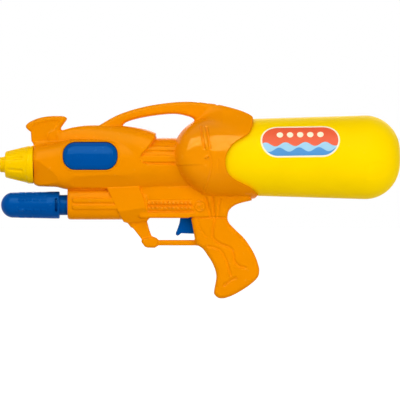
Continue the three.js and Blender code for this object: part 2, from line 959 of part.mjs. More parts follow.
// Blue inserts that close the barrel's two side openings
function addInserts() {
  const group = axisGroup(0, 0);
  const inside = shellWall + seatFit;
  const flangeBack = barrelForm(-inside - insertFlangeThickness);
  const face = solid(slabAcross(insertShape(-seatFit), beyond)).intersect(barrelForm(insertProud));
  const flange = solid(slabAcross(insertShape(insertFlange), beyond)).intersect(barrelForm(-inside));
  const both = face.add(flange).subtract(flangeBack);
  const sides = { left_insert: [-beyond, -insertHalfGap], right_insert: [insertHalfGap, beyond] };
  Object.entries(sides).forEach(([name, [y0, y1]]) => {
    const side = solid(box(-beyond, beyond, y0, y1, -beyond, beyond));
    piece(group, name, both.intersect(side), "blue");
  });
}

// Nozzle with its flutes, the washer in it and the pipe that it screws on to
function addNozzle() {
  const group = axisGroup(0, barrelAxisZ);
  const profile = [
    [nozzleTipX, jetRadius],
    [nozzleTipX, nozzleTipRadius - nozzleTipEdge],
    [nozzleTipX + nozzleTipEdge, nozzleTipRadius],
    [nozzleStepX, nozzleTipRadius],
    [nozzleStepX, nozzleNeckRadius - nozzleNeckEdge],
    [nozzleStepX + nozzleNeckEdge, nozzleNeckRadius],
    [nozzleConeX, nozzleConeRadius],
    [nozzleConeX + nozzleRimRise, nozzleRimRadius],
    [nozzleRearX, nozzleRimRadius],
    [nozzleRearX, nozzleRimRadius - nozzleRimWall],
    [nozzleSkirtX, nozzleRimRadius - nozzleRimWall],
    [nozzleSkirtX, spigotRadius + turnFit],
    [nozzleFloorX, spigotRadius + turnFit],
    [nozzleFloorX, jetRadius],
    [nozzleTipX, jetRadius],
  ];
  const slope = Math.atan2(nozzleConeRadius - nozzleNeckRadius, nozzleConeX - nozzleStepX);
  const middleX = (nozzleStepX + nozzleConeX) / 2;
  const middleRadius = (nozzleNeckRadius + nozzleConeRadius) / 2 + fluteRadius - fluteDepth;
  const flutes = Array.from({ length: fluteCount }, (_, i) => {
    const flute = rodX(-fluteLength / 2, fluteLength / 2, fluteRadius, smallSides);
    flute.rotateY(-slope).translate(middleX, 0, middleRadius);
    return solid(flute.rotateX(((i + 0.5) / fluteCount) * 2 * Math.PI));
  });
  piece(group, "nozzle", cut(solid(revolve(profile, shownSides)), flutes), "yellow");
  const washerFrontX = nozzleFloorX + seatFit;
  const washer = tube(washerFrontX, washerFrontX + washerThickness, spigotRadius, jetRadius * 2);
  piece(group, "nozzle_washer", solid(washer), "rubber");
  const pipe = [
    [spigotFrontX, pipeBore],
    [spigotFrontX, spigotRadius],
    [pipeFlangeX, spigotRadius],
    [pipeFlangeX, pipeFlangeRadius],
    [pipeFlangeX + pipeFlangeThickness, pipeFlangeRadius],
    [pipeFlangeX + pipeFlangeThickness, pipeRadius],
    [pipeRearX, pipeRadius],
    [pipeRearX, spigotFit],
    [pipeRearX + spigotLength, spigotFit],
    [pipeRearX + spigotLength, pipeBore],
    [spigotFrontX, pipeBore],
  ];
  piece(group, "barrel_pipe", solid(revolve(pipe)), "ivory");
}

// Pump: what slides
function addPumpRod() {
  const group = axisGroup(0, pumpAxisZ);
  const noseX0 = handleFrontX + handleNose;
  const nose = new THREE.Path().absellipse(
    noseX0,
    0,
    handleNose,
    handleRadius - handleTaper,
    Math.PI,
    Math.PI / 2,
    true,
  );
  const front = nose.getPoints(arcSteps).map((point) => [point.x, point.y]);
  front[0][1] = 0;
  const rodFrontX = handleRearX - rodInsert;
  const hollow = rodRadius - rodWall;
  const profile = [
    ...front,
    [handleRearX - 4 * handleEdge, handleRadius],
    [handleRearX - handleEdge, handleRadius],
    [handleRearX, handleRadius - handleEdge],
    [handleRearX, rodRadius + seatFit],
    [rodFrontX - seatFit, rodRadius + seatFit],
    [rodFrontX - seatFit, hollow],
    [noseX0, hollow],
    [handleFrontX + handleWall, 0],
  ];
  const slotX = handleRearX - lugInset - lugSlot;
  const slot = solid(box(slotX, slotX + lugSlot, -beyond, beyond, -lugSpan / 2, lugSpan / 2));
  const slotCore = solid(rodX(slotX - lugSlot, slotX + 2 * lugSlot, rodRadius));
  const body = solid(revolve(profile, shownSides)).subtract(slot.subtract(slotCore));
  piece(group, "pump_handle", body, "blue");
  const rod = solid(tube(rodFrontX, pistonX - pistonThickness - seatFit, rodRadius, hollow));
  const lugBox = box(
    slotX + seatFit,
    slotX + lugSlot - seatFit,
    -rodRadius - lugProud,
    rodRadius + lugProud,
    seatFit - lugSpan / 2,
    lugSpan / 2 - seatFit,
  );
  const lugRing = solid(tube(slotX, slotX + lugSlot, rodRadius + lugProud, hollow));
  piece(group, "pump_rod", rod.add(solid(lugBox).intersect(lugRing)), "blue");
  const headFrontX = pistonX - pistonThickness;
  const ringX = headFrontX + (pistonThickness - pistonRingThickness) / 2;
  const grooveRadius = rodRadius - pistonRingDepth;
  const piston = [
    [headFrontX - pistonPlug, 0],
    [headFrontX - pistonPlug, hollow - seatFit],
    [headFrontX, hollow - seatFit],
    [headFrontX, rodRadius],
    [ringX - seatFit, rodRadius],
    [ringX - seatFit, grooveRadius - seatFit],
    [ringX + pistonRingThickness + seatFit, grooveRadius - seatFit],
    [ringX + pistonRingThickness + seatFit, rodRadius],
    [pistonX, rodRadius],
    [pistonX, 0],
  ];
  piece(group, "piston", solid(revolve(piston)), "ivory");
  const ring = tube(ringX, ringX + pistonRingThickness, rodRadius + ringProud, grooveRadius);
  piece(group, "piston_ring", solid(ring), "rubber");
}

// Pump: what stays in the housing
function addPumpCylinder() {
  const group = axisGroup(0, pumpAxisZ);
  const bush = tube(bushFrontX, bushFrontX + bushLength, cylinderRadius, rodRadius + seatFit);
  piece(group, "pump_bush", solid(bush), "ivory");
  const barrel = tube(cylinderFrontX, cylinderRearX, cylinderRadius, cylinderBore);
  piece(group, "pump_cylinder", solid(barrel), "ivory");
  const plugRadius = cylinderBore - seatFit;
  const seat = [
    [cylinderRearX - seatPlug, 2 * spigotBore],
    [cylinderRearX - seatPlug, plugRadius],
    [cylinderRearX + seatFit, plugRadius],
    [cylinderRearX + seatFit, cylinderRadius],
    [seatRearX, cylinderRadius],
    [seatRearX, 2 * spigotBore],
    [cylinderRearX - seatPlug, 2 * spigotBore],
  ];
  piece(group, "check_valve_seat", solid(revolve(seat)), "ivory");
  const flapX = capFrontX + seatFit;
  const flap = rodX(flapX, flapX + flapThickness, flapRadius);
  piece(group, "check_valve_flap", solid(flap), "rubber");
  const lift = capSpigotTopZ - pumpAxisZ;
  const pocket = rodX(capFrontX - seatFit, flapX + 2 * flapThickness, flapRadius + seatFit);
  const cap = union([
    solid(rodX(capFrontX, capRearX, cylinderRadius)),
    solid(rodZ(capSpigotX, -elbowY, 0, lift, spigotFit)),
  ]);
  const airWay = [
    solid(pocket),
    solid(rodZ(capSpigotX, -elbowY, 0, 2 * lift, spigotBore)),
    solid(rodY(capSpigotX, 0, -elbowY - spigotBore, spigotBore, spigotBore)),
    solid(rodX(flapX, capSpigotX + spigotBore, spigotBore, smallSides)),
  ];
  piece(group, "check_valve_cap", cut(cap, airWay), "ivory");
}

// Tank, gasket, socket and pick-up tube
function tankProfile(inner) {
  const wall = inner ? tankWall : 0;
  const neck = inner ? neckRadius - neckWall : neckRadius;
  const endX = tankEndX - wall;
  const corner = tankCorner - wall;
  const centreX = endX - corner;
  const centreRadius = tankRadius - wall - corner;
  const arc = new THREE.Path().absarc(centreX, centreRadius, corner, 0, Math.PI / 2);
  const front = tankFrontRadius - wall;
  const shoulder = new THREE.QuadraticBezierCurve(
    new THREE.Vector2(tankShoulderX, front),
    new THREE.Vector2(neckRootX + shoulderReach + wall, front),
    new THREE.Vector2(neckRootX + shoulderFoot + wall, neck + shoulderRise),
  );
  const rear = arc.getPoints(arcSteps).map((point) => [point.x, point.y]);
  const turn = shoulder.getPoints(arcSteps).map((point) => [point.x, point.y]);
  return [[endX, 0], ...rear, ...turn, [neckRootX + wall, neck], [neckMouthX, neck]];
}

function addTank() {
  const group = axisGroup(0, tankAxisZ);
  const loop = [...tankProfile(false), ...tankProfile(true).reverse()];
  piece(group, "tank", solid(revolve(loop, tankSides)), "yellow");
}

function addSocket() {
  const group = axisGroup(0, tankAxisZ);
  const gasketX = socketFloorX + seatFit;
  const gasket = tube(gasketX, gasketX + gasketThickness, neckRadius, neckRadius - gasketWidth);
  piece(group, "tank_gasket", solid(gasket), "rubber");
  const flangeEnd = socketFlangeX + socketFlangeThickness;
  const profile = [
    [socketFrontX, 0],
    [socketFrontX, socketRadius],
    [socketFlangeX, socketRadius],
    [socketFlangeX, socketFlangeRadius],
    [flangeEnd, socketFlangeRadius],
    [flangeEnd, socketRadius],
    [socketRearX, socketRadius],
    [socketRearX, socketBore],
    [socketFloorX, socketBore],
    [socketFloorX, 0],
  ];
  const cup = solid(revolve(profile, shownSides));
  const level = (y, fromX, toX, radius) =>
    solid(rodX(fromX, toX, radius, smallSides).translate(0, y, -elbowDrop));
  const pipes = [-elbowY, elbowY].flatMap((y) => [
    level(y, elbowX, socketFloorX - seatFit, elbowRadius),
    solid(rodZ(elbowX, y, -elbowEndDrop, elbowRadius - elbowDrop, spigotFit)),
    level(y, socketFrontX, socketFloorX + spigotLength, spigotFit),
  ]);
  const bores = [-elbowY, elbowY].flatMap((y) => [
    level(y, elbowX, socketFloorX + 2 * spigotLength, spigotBore),
    solid(rodZ(elbowX, y, -2 * elbowEndDrop, -elbowDrop, spigotBore)),
  ]);
  piece(group, "tank_socket", cut(union([cup, ...pipes]), bores), "ivory");
}

// Hoses and pick-up tube, each along points chosen by hand
function addHoses() {
  const group = axisGroup(0, 0);
  const airHose = [
    [capSpigotX, -elbowY, capSpigotTopZ - spigotLength / 2 + 1.5],
    [capSpigotX, -elbowY, capSpigotTopZ],
    [(capSpigotX + elbowX) / 2, -elbowY, (capSpigotTopZ + elbowEndZ) / 2],
    [elbowX, -elbowY, elbowEndZ - 1],
    [elbowX, -elbowY, elbowEndZ + spigotLength / 2],
    [elbowX, -elbowY, elbowEndZ + spigotLength - 1],
  ];
  const valveTop = valveZ + valveSpigotTop;
  const hoseFoot = valveTop - spigotLength;
  const waterHose = [
    [elbowX, elbowY, elbowEndZ + spigotLength - 1],
    [elbowX, elbowY, elbowEndZ + spigotLength / 2],
    [elbowX, elbowY, elbowEndZ - 3],
    [-48, elbowY, 75],
    [-38, 7.5, 68],
    [-26, 4, 65],
    [inletX - 1, 0.6, valveTop + 7],
    [inletX, 0, valveTop + 1],
    [inletX, 0, valveTop - spigotLength / 2],
    [inletX, 0, hoseFoot],
  ];
  const deliveryHose = [
    [outletX, 0, hoseFoot],
    [outletX, 0, valveTop - spigotLength / 2],
    [outletX, 0, valveTop + 1],
    [outletX - 1, -1, valveTop + 7],
    [-16, -6, 67],
    [-32, -7.5, 72],
    [-50, -1, 79],
    [-62, 0, 90],
    [-72, 0, barrelAxisZ - 1.6],
    [pipeRearX + spigotLength, 0, barrelAxisZ],
    [pipeRearX + 1, 0, barrelAxisZ],
  ];
  const pickUp = [
    [socketFloorX + 1, elbowY, elbowZ],
    [socketFloorX + spigotLength + 2, elbowY, elbowZ],
    [-10, elbowY, elbowZ],
    [20, 6, 93],
    [70, 2, 77],
    [120, 0, 72],
    [150, 0, 71.5],
  ];
  piece(group, "air_hose", solid(hose(airHose, 8)), "hose");
  piece(group, "water_hose", solid(hose(waterHose, 11)), "hose");
  piece(group, "delivery_hose", solid(hose(deliveryHose, 12)), "hose");
  piece(group, "pick_up_tube", solid(hose(pickUp, 8)), "hose");
}

// Trigger on its pin
function addTrigger() {
  const group = axisGroup(pinX, pinZ);
  const blade = [
    ...triggerBlade,
    [triggerRear, valveZ - pinZ + triggerShoulderRise],
    [triggerBossRadius + triggerBevel, -triggerShoulderDrop],
    [-triggerBossRadius - triggerBevel, -triggerShoulderDrop],
  ];
  const plate = solid(slabAcross(new THREE.Shape(toVectors(blade)), triggerThickness, triggerBevel, 1));
  const half = triggerThickness / 2;
  const boss = solid(rodY(0, 0, -half, half, triggerBossRadius, roundSides));
  const hole = solid(rodY(0, 0, -2 * half, 2 * half, pinRadius + seatFit));
  piece(group, "trigger", plate.add(boss).subtract(hole), "blue");
  const pin = solid(rodY(0, 0, -pinHalfLength, pinHalfLength, pinRadius));
  piece(group, "trigger_pin", pin, "steel");
}

// Push valve behind the trigger
function addValve() {
  const group = axisGroup(0, valveZ);
  const boreEndX = valveRearX - valveRearWall;
  const bodyProfile = [
    [valveRearX, 0],
    [valveRearX, valveRadius],
    [valveFrontX, valveRadius],
    [valveFrontX, valveBore],
    [boreEndX, valveBore],
    [boreEndX, 0],
  ];
  const tubeBody = solid(revolve(bodyProfile, valveSides));
  const upright = (fromZ, toZ, radius) =>
    [inletX, outletX].map((x) => solid(rodZ(x, 0, fromZ, toZ, radius)));
  const ports = upright(valveBore + seatFit, valveSpigotTop, spigotFit);
  const ways = upright(0, 2 * valveSpigotTop, spigotBore);
  piece(group, "valve_body", cut(union([tubeBody, ...ports]), ways), "ivory");
  const glandX = valveFrontX - seatFit;
  const plugRadius = valveBore - seatFit;
  const gland = [
    [glandX - glandFlange, stemRadius + seatFit],
    [glandX - glandFlange, valveRadius],
    [glandX, valveRadius],
    [glandX, plugRadius],
    [glandX + glandPlug, plugRadius],
    [glandX + glandPlug, stemRadius + seatFit],
    [glandX - glandFlange, stemRadius + seatFit],
  ];
  piece(group, "valve_gland", solid(revolve(gland, valveSides)), "ivory");
  const buttonX = pinX + triggerRear + seatFit;
  const headFrontX = stemHeadX - stemHeadLength;
  const ringX = headFrontX + (stemHeadLength - stemRingThickness) / 2;
  const headRadius = valveBore - seatFit;
  const grooveRadius = headRadius - stemRingDepth;
  const stem = [
    [buttonX, 0],
    [buttonX, buttonRadius],
    [buttonX + buttonThickness, buttonRadius],
    [buttonX + buttonThickness, stemRadius],
    [headFrontX, stemRadius],
    [headFrontX, headRadius],
    [ringX - seatFit, headRadius],
    [ringX - seatFit, grooveRadius - seatFit],
    [ringX + stemRingThickness + seatFit, grooveRadius - seatFit],
    [ringX + stemRingThickness + seatFit, headRadius],
    [stemHeadX, headRadius],
    [stemHeadX, 0],
  ];
  piece(group, "valve_stem", solid(revolve(stem, valveSides)), "ivory");
  const ring = tube(ringX, ringX + stemRingThickness, headRadius + ringProud, grooveRadius, valveSides);
  piece(group, "stem_ring", solid(ring), "rubber");
  piece(group, "valve_spring", solid(spring(stemHeadX + seatFit, boreEndX - seatFit)), "steel");
}

// Eight shell screws
function addScrews() {
  screwPlaces.forEach(([x, z], i) => {
    const group = axisGroup(x, z);
    const profile = [
      [screwSeatY - screwShankLength, 0],
      [screwSeatY - screwShankLength + screwPoint, screwShankRadius],
      [screwSeatY, screwShankRadius],
      [screwSeatY, screwHeadRadius],
      [screwSeatY + screwHeadHeight - screwPoint / 2, screwHeadRadius],
      [screwSeatY + screwHeadHeight, 0],
    ];
    const body = solid(revolve(profile, screwSides).rotateZ(Math.PI / 2));
    piece(group, `shell_screw_${i + 1}`, body, "steel");
  });
}

addShells();
addInserts();
addNozzle();
addPumpRod();
addPumpCylinder();
addTank();
addSocket();
addHoses();
addTrigger();
addValve();
addScrews();

export default part;
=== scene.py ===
# %% [markdown]
# # A toy water squirter
#
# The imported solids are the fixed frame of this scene: every piece is made in the same frame, in metres,
# and rides on the body that carries it. The muzzle points to -X, +Z is up, and the photograph looks
# along +Y at the left-hand side. The sizes below are written in millimetres, as on a drawing, and the
# last step of each piece turns them into metres.

import math

import bmesh
import bpy
import numpy as np
import openvdb
from mathutils import Matrix, Vector


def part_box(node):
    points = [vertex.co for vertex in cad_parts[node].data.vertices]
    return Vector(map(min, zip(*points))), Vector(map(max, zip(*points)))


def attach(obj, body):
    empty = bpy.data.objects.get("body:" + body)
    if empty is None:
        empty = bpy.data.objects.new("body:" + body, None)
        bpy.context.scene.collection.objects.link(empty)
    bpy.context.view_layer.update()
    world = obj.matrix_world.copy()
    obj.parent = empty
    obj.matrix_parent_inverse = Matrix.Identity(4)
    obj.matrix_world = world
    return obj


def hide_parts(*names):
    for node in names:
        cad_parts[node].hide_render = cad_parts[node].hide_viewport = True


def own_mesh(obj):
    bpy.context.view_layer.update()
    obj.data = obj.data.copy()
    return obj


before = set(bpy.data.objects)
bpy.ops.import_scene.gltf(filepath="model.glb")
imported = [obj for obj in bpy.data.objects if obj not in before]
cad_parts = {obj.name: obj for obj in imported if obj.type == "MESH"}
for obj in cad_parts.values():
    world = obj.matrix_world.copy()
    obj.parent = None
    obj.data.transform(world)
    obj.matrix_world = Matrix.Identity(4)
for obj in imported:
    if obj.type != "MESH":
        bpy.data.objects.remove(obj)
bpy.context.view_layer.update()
MM = 0.001

# %% [markdown]
# ## Camera, floor and light
#
# The photograph is a side view from far away, so a long lens keeps the sides nearly parallel. The frame
# is 440 mm wide at the middle of the object. The floor is well below, as the squirter is held by its grip,
# and it is white to the camera while it still takes the shadow from above. Four lamps light the near side
# without showing in its gloss. The gleam box only shows there, and gives the pale patches on the dome.

# %% Camera
VIEW_CENTRE = Vector((-30.8, 0, 60.5)) * MM
VIEW_WIDTH = 440 * MM
VIEW_DISTANCE = 3.0


def add(name, data):
    """A new object of the scene."""
    made = bpy.data.objects.new(name, data)
    bpy.context.scene.collection.objects.link(made)
    return made


camera = add("camera", bpy.data.cameras.new("camera"))
camera.location = VIEW_CENTRE - Vector((0, VIEW_DISTANCE, 0))
camera.rotation_euler = (math.radians(90), 0, 0)
camera.data.sensor_width = 36
camera.data.lens = camera.data.sensor_width * VIEW_DISTANCE / VIEW_WIDTH
bpy.context.scene.camera = camera
bpy.context.scene.view_settings.view_transform = "Standard"
print("lens", round(camera.data.lens), "mm")


# %% Colours
def linear(red, green, blue):
    """A colour picked on screen, 0 to 255, as the linear values that shaders take."""
    shares = (channel / 255 for channel in (red, green, blue))
    return tuple(s / 12.92 if s <= 0.04045 else ((s + 0.055) / 1.055) ** 2.4 for s in shares) + (1,)


ORANGE = linear(238, 141, 0)
YELLOW = linear(255, 214, 0)
BLUE = linear(0, 78, 156)
IVORY = linear(228, 222, 202)
WHITE = linear(255, 255, 255)


# %% Nodes in few words
def feed(tree, node, inputs):
    """Give a node's inputs constants, or link other nodes' outputs to them."""
    for socket, value in inputs.items():
        if isinstance(value, bpy.types.NodeSocket):
            tree.links.new(value, node.inputs[socket])
        else:
            node.inputs[socket].default_value = value


def add_node(tree, kind, inputs, **settings):
    """A new node with its settings and inputs."""
    node = tree.nodes.new(kind)
    for name, value in settings.items():
        setattr(node, name, value)
    feed(tree, node, inputs)
    return node


def maths(tree, operation, *values):
    """The result of one sum, on numbers or other nodes' outputs."""
    return add_node(tree, "ShaderNodeMath", dict(enumerate(values)), operation=operation).outputs[0]


# %% White to the eye, plain to the light
AMBIENT = 0.28


def seen_directly(tree):
    """A mask that is 1 for the eye, for reflections and through glass, and 0 for the light that falls."""
    rays = tree.nodes.new("ShaderNodeLightPath").outputs
    seen = maths(tree, "MAXIMUM", rays["Is Camera Ray"], rays["Is Glossy Ray"])
    return maths(tree, "MAXIMUM", seen, rays["Is Transmission Ray"])


world = bpy.data.worlds.new("studio")
bpy.context.scene.world = world
world.use_nodes = True
tree = world.node_tree
tree.nodes.clear()
ambient, backdrop = (
    add_node(tree, "ShaderNodeBackground", {"Color": WHITE, "Strength": strength}).outputs[0]
    for strength in (AMBIENT, 1)
)
mix = add_node(tree, "ShaderNodeMixShader", {"Fac": seen_directly(tree), 1: ambient, 2: backdrop})
add_node(tree, "ShaderNodeOutputWorld", {"Surface": mix.outputs[0]})
print("world:", world.name)

# %% Floor
FLOOR_Z, FLOOR_REACH = -0.3, 30
PAPER_GREY, PAPER_GLOW, PAPER_ROUGHNESS = (0.5, 0.5, 0.5, 1), (0.85, 0.85, 0.85, 1), 0.9

floor_mesh = bpy.data.meshes.new("floor")
corners = [(x * FLOOR_REACH, y * FLOOR_REACH, FLOOR_Z) for x, y in ((-1, -1), (1, -1), (1, 1), (-1, 1))]
floor_mesh.from_pydata(corners, [], [(0, 1, 2, 3)])
floor = add("floor", floor_mesh)
paper = bpy.data.materials.new("white_paper")
paper.use_nodes = True
tree = paper.node_tree
matt = tree.nodes["Principled BSDF"]
feed(tree, matt, {"Base Color": PAPER_GREY, "Roughness": PAPER_ROUGHNESS})
glow = add_node(tree, "ShaderNodeEmission", {"Color": PAPER_GLOW, "Strength": seen_directly(tree)})
both = add_node(tree, "ShaderNodeAddShader", {0: matt.outputs[0], 1: glow.outputs[0]})
feed(tree, tree.nodes["Material Output"], {"Surface": both.outputs[0]})
floor_mesh.materials.append(paper)
print("floor at", FLOOR_Z)


# %% Soft boxes
def soft_box(name, place, aim, width, height, watts, lights=True, shows=True):
    """A rectangular lamp turned to face a point. It can light surfaces, show in their gloss, or both."""
    lamp = add(name, bpy.data.lights.new(name, "AREA"))
    lamp.data.shape = "RECTANGLE"
    lamp.data.size, lamp.data.size_y = width, height
    lamp.data.energy = watts
    lamp.visible_diffuse, lamp.visible_glossy = lights, shows
    lamp.location = place
    lamp.rotation_euler = (Vector(aim) - Vector(place)).to_track_quat("-Z", "Y").to_euler()


TANK_CENTRE = Vector((85, 0, 107.5)) * MM
# name, place, aim, width, height and watts
soft_box("key_box", (-0.4, -0.75, 1.0), VIEW_CENTRE, 1.3, 0.5, 6, shows=False)
soft_box("front_box", (-0.3, -2.4, 1.15), VIEW_CENTRE, 2.0, 1.4, 14, shows=False)
soft_box("side_box", (-2.0, -0.6, 0.1), VIEW_CENTRE, 1.0, 0.7, 6.5, shows=False)
soft_box("low_box", (0.9, -1.0, -0.1), TANK_CENTRE, 1.0, 0.35, 8, shows=False)
soft_box("gleam_box", (-0.33, -1.2, 1.13), VIEW_CENTRE, 1.9, 1.36, 160, lights=False)
soft_box("back_box", (0.3, 1.3, 0.9), VIEW_CENTRE, 1.6, 0.9, 14)

# %% [markdown]
# ## A mould in numbers
#
# A moulded shell has soft fillets wherever two forms meet. Joining meshes by booleans gives hard, ragged
# joins, so the shell is drawn as a distance field instead: for every point of a grid, how far it is from
# the surface, negative inside. Fields join with a fillet by one short formula, hollow out by an offset, and
# turn into an even mesh of quads at the end. The helpers below are the whole toolbox.


# %% Grids and side-view outlines
class Mould:
    """A grid of points, in millimetres, that fields are drawn on."""

    def __init__(self, low, high, step):
        self.low, self.step = np.array(low, float), step
        axes = [np.arange(a, b, step, dtype=np.float32) for a, b in zip(low, high)]
        self.x = axes[0][:, None, None]
        self.y = axes[1][None, :, None]
        self.z = axes[2][None, None, :]

    def from_axis(self, z):
        """Distance from a line along X at a height."""
        return np.sqrt(self.y**2 + (self.z - z) ** 2)

    def side_line(self, points):
        """Distance from a line drawn in the side view, the same all the way across."""
        return np.sqrt(self._square_distance(points))

    def side_shape(self, points):
        """Signed distance from a closed outline drawn in the side view."""
        loop = list(points) + [points[0]]
        inside = np.zeros((self.x.shape[0], 1, self.z.shape[2]), bool)
        for (ax, az), (bx, bz) in zip(loop, loop[1:]):
            if az == bz:
                continue
            spans = (self.z >= min(az, bz)) & (self.z < max(az, bz))
            inside ^= spans & (self.x < ax + (self.z - az) * (bx - ax) / (bz - az))
        far = np.sqrt(self._square_distance(loop))
        return np.where(inside, -far, far)

    def _square_distance(self, points):
        """Square of the distance from a line in the side view."""
        best = np.full((self.x.shape[0], 1, self.z.shape[2]), 1e9, np.float32)
        for (ax, az), (bx, bz) in zip(points, points[1:]):
            run, rise = bx - ax, bz - az
            length = run * run + rise * rise + 1e-9
            share = np.clip(((self.x - ax) * run + (self.z - az) * rise) / length, 0, 1)
            gap = (self.x - ax - share * run) ** 2 + (self.z - az - share * rise) ** 2
            best = np.minimum(best, gap)
        return best


def smooth_line(points, per_span=8):
    """Points of a smooth curve through the given points."""
    given = np.array(points, float)
    padded = np.vstack([2 * given[0] - given[1], given, 2 * given[-1] - given[-2]])
    made = []
    for i in range(len(given) - 1):
        a, b, c, d = padded[i : i + 4]
        for t in np.arange(per_span) / per_span:
            made.append(0.5 * (2 * b + (c - a) * t
                               + (2 * a - 5 * b + 4 * c - d) * t**2
                               + (3 * b - a - 3 * c + d) * t**3))
    return [tuple(p) for p in made] + [tuple(given[-1])]


# %% Joining, cutting and rounding fields
def join(a, b, fillet=0.01):
    """Both forms together, with a fillet where they meet."""
    share = np.clip(0.5 + 0.5 * (b - a) / fillet, 0, 1)
    return b + (a - b) * share - fillet * share * (1 - share)


def trim(a, b, edge=0.01):
    """What lies in both forms, with a rounded edge where they meet."""
    return -join(-a, -b, edge)


def cut(a, b, edge=0.01):
    """The first form without the second, with a rounded edge."""
    return trim(a, -b, edge)


def slab(mould, outline, half, edge):
    """A side-view outline given thickness across Y, with rounded edges."""
    across = np.abs(mould.y) - half + edge
    along = mould.side_shape(outline) + edge
    outside = np.sqrt(np.maximum(across, 0) ** 2 + np.maximum(along, 0) ** 2)
    return outside + np.minimum(np.maximum(across, along), 0) - edge


def span(places, low, high):
    """The space between two planes."""
    return np.maximum(low - places, places - high)


def rod_x(mould, z, radius, low, high):
    """A round rod along X at a height."""
    return trim(mould.from_axis(z) - radius, span(mould.x, low, high))


def rod_y(mould, x, z, radius):
    """An endless round rod across the object."""
    return np.sqrt((mould.x - x) ** 2 + (mould.z - z) ** 2) - radius


def soft_step(distance, edge):
    """1 well inside, 0 well outside, with a smooth slope as wide as the edge between."""
    share = np.clip(0.5 - distance / edge, 0, 1)
    return share * share * (3 - 2 * share)


def facet(mould, ridge, half, lean):
    """A flat that leans inwards below a ridge, a side-view line that runs along X."""
    x, z = zip(*ridge)
    lift = np.interp(mould.x[:, 0, 0], x, z)[:, None, None].astype(np.float32)
    turn = math.radians(lean)
    return (np.abs(mould.y) - half) * math.cos(turn) + (lift - mould.z) * math.sin(turn)


# %% Ovals lofted along the barrel
SOFTEN_STEPS = 20


def oval_loft(mould, stations, axis_z, soften=4.0):
    """Squared ovals along X. A station is x, half width, reach up, reach down and squareness."""
    table = np.array(stations, float)
    x = mould.x[:, 0, 0]
    steps = np.arange(-SOFTEN_STEPS, SOFTEN_STEPS + 1)
    window = np.exp(-0.5 * (steps * mould.step / soften) ** 2)
    window /= window.sum()
    columns = []
    for column in table[:, 1:].T:
        padded = np.pad(np.interp(x, table[:, 0], column), SOFTEN_STEPS, mode="edge")
        columns.append(np.convolve(padded, window, mode="valid")[:, None, None].astype(np.float32))
    half, up, down, power = columns
    high, middle = (up + down) / 2, axis_z + (up - down) / 2
    u, v = np.abs(mould.y) / half + 1e-4, np.abs(mould.z - middle) / high + 1e-4
    swell = (u**power + v**power) ** (1 / power)
    slope = np.sqrt((u ** (power - 1) / half) ** 2 + (v ** (power - 1) / high) ** 2) * swell ** (1 - power)
    return np.maximum((swell - 1) / slope, span(mould.x, table[0, 0], table[-1, 0]))


# %% From a field to a mesh
FIELD_BAND = 3.0


def smooth_piece(name, mesh, sharp=None):
    """An object with smooth shading. Edges that turn by more than an angle, in degrees, can stay sharp."""
    mesh.shade_smooth()
    if sharp:
        mesh.set_sharp_from_angle(angle=math.radians(sharp))
    print(name, len(mesh.polygons), "faces")
    return add(name, mesh)


def mesh_from_field(name, mould, field):
    """The zero surface of a field as an object, in metres."""
    grid = openvdb.FloatGrid(FIELD_BAND)
    near = np.clip(field, -FIELD_BAND, FIELD_BAND)
    grid.copyFromArray(np.ascontiguousarray(near, dtype=np.float32))
    points, quads = grid.convertToQuads(0.0)
    mesh = bpy.data.meshes.new(name)
    mesh.from_pydata(((points * mould.step + mould.low) * MM).tolist(), [], quads[:, ::-1].tolist())
    return smooth_piece(name, mesh)


# %% [markdown]
# ## Ribs, grooves and panels
#
# The moulding has fine relief: ribs on the pump housing and barrel, grooves round the lower frame, a
# raised band on the dome and flowing lines on the grip. Each is a line drawn in the side view with a
# width and a rise. It is added to the field of the form that carries it, so it is real shape and not only
# shading, and it runs on under the forms that overlap it, as on the real moulding.


# %% Relief drawn in the side view
GRID_MM, GRID_X, GRID_Y = 1.1, 228, 255


def px(*pairs):
    """Points picked on the picture's grid as millimetres in the side view."""
    return [((x - GRID_X) * GRID_MM, (GRID_Y - y) * GRID_MM) for x, y in pairs]


def relief(mould, bars, edge=1.2):
    """How far ribs rise, or grooves sink where the rise is negative. A bar is line, half width and rise."""
    return sum(rise * soft_step(mould.side_line(line) - half, edge) for line, half, rise in bars)


def panel(mould, outline, depth, edge=1.0):
    """A flat-bottomed recess with a closed outline."""
    return depth * soft_step(mould.side_shape(outline), edge)


# %% [markdown]
# ## The shell's main forms
#
# The shell is one barrel with a raised cowl on top, a dome that wraps the tank, a carry handle, a front
# sight fin, the pump housing with its slanted strap, the lower frame, the trigger guard and the grip. The
# barrel and cowl are lofts of squared ovals; the flat pieces are outlines with a thickness and rounded
# edges. Only the left half is drawn, and the right half is its mirror image.

# %% Barrel and cowl
SHELL_STEP = 0.7
half_mould = Mould((-226, -48.5, -50.5), (37.5, 1.8, 171.5), SHELL_STEP)
BARREL_Z, TANK_Z, PUMP_Z = 99.5, 107.5, 55.0
BARREL = [
    (-213.2, 20.6, 20.3, 20.8, 2.0),
    (-210.8, 22.4, 21.2, 24.0, 2.5),
    (-188.0, 25.0, 24.0, 24.7, 3.3),
    (-180.0, 26.6, 26.4, 27.0, 3.2),
    (-170.0, 27.8, 28.4, 28.0, 3.0),
    (-140.0, 28.5, 29.2, 28.0, 3.0),
    (-100.0, 28.5, 31.3, 27.8, 2.7),
    (-30.0, 28.5, 31.3, 27.0, 2.4),
]
COWL = [
    (-188, 7.0, 36.5, 0, 2.8),
    (-172, 10.0, 41.0, 0, 2.8),
    (-158, 12.5, 43.2, 3, 2.8),
    (-144, 16.0, 43.6, 6, 2.8),
    (-124, 22.0, 43.4, 10, 2.7),
    (-108, 27.0, 42.2, 14, 2.6),
    (-92, 30.0, 39.6, 16, 2.6),
    (-76, 30.4, 34.2, 18, 2.6),
]
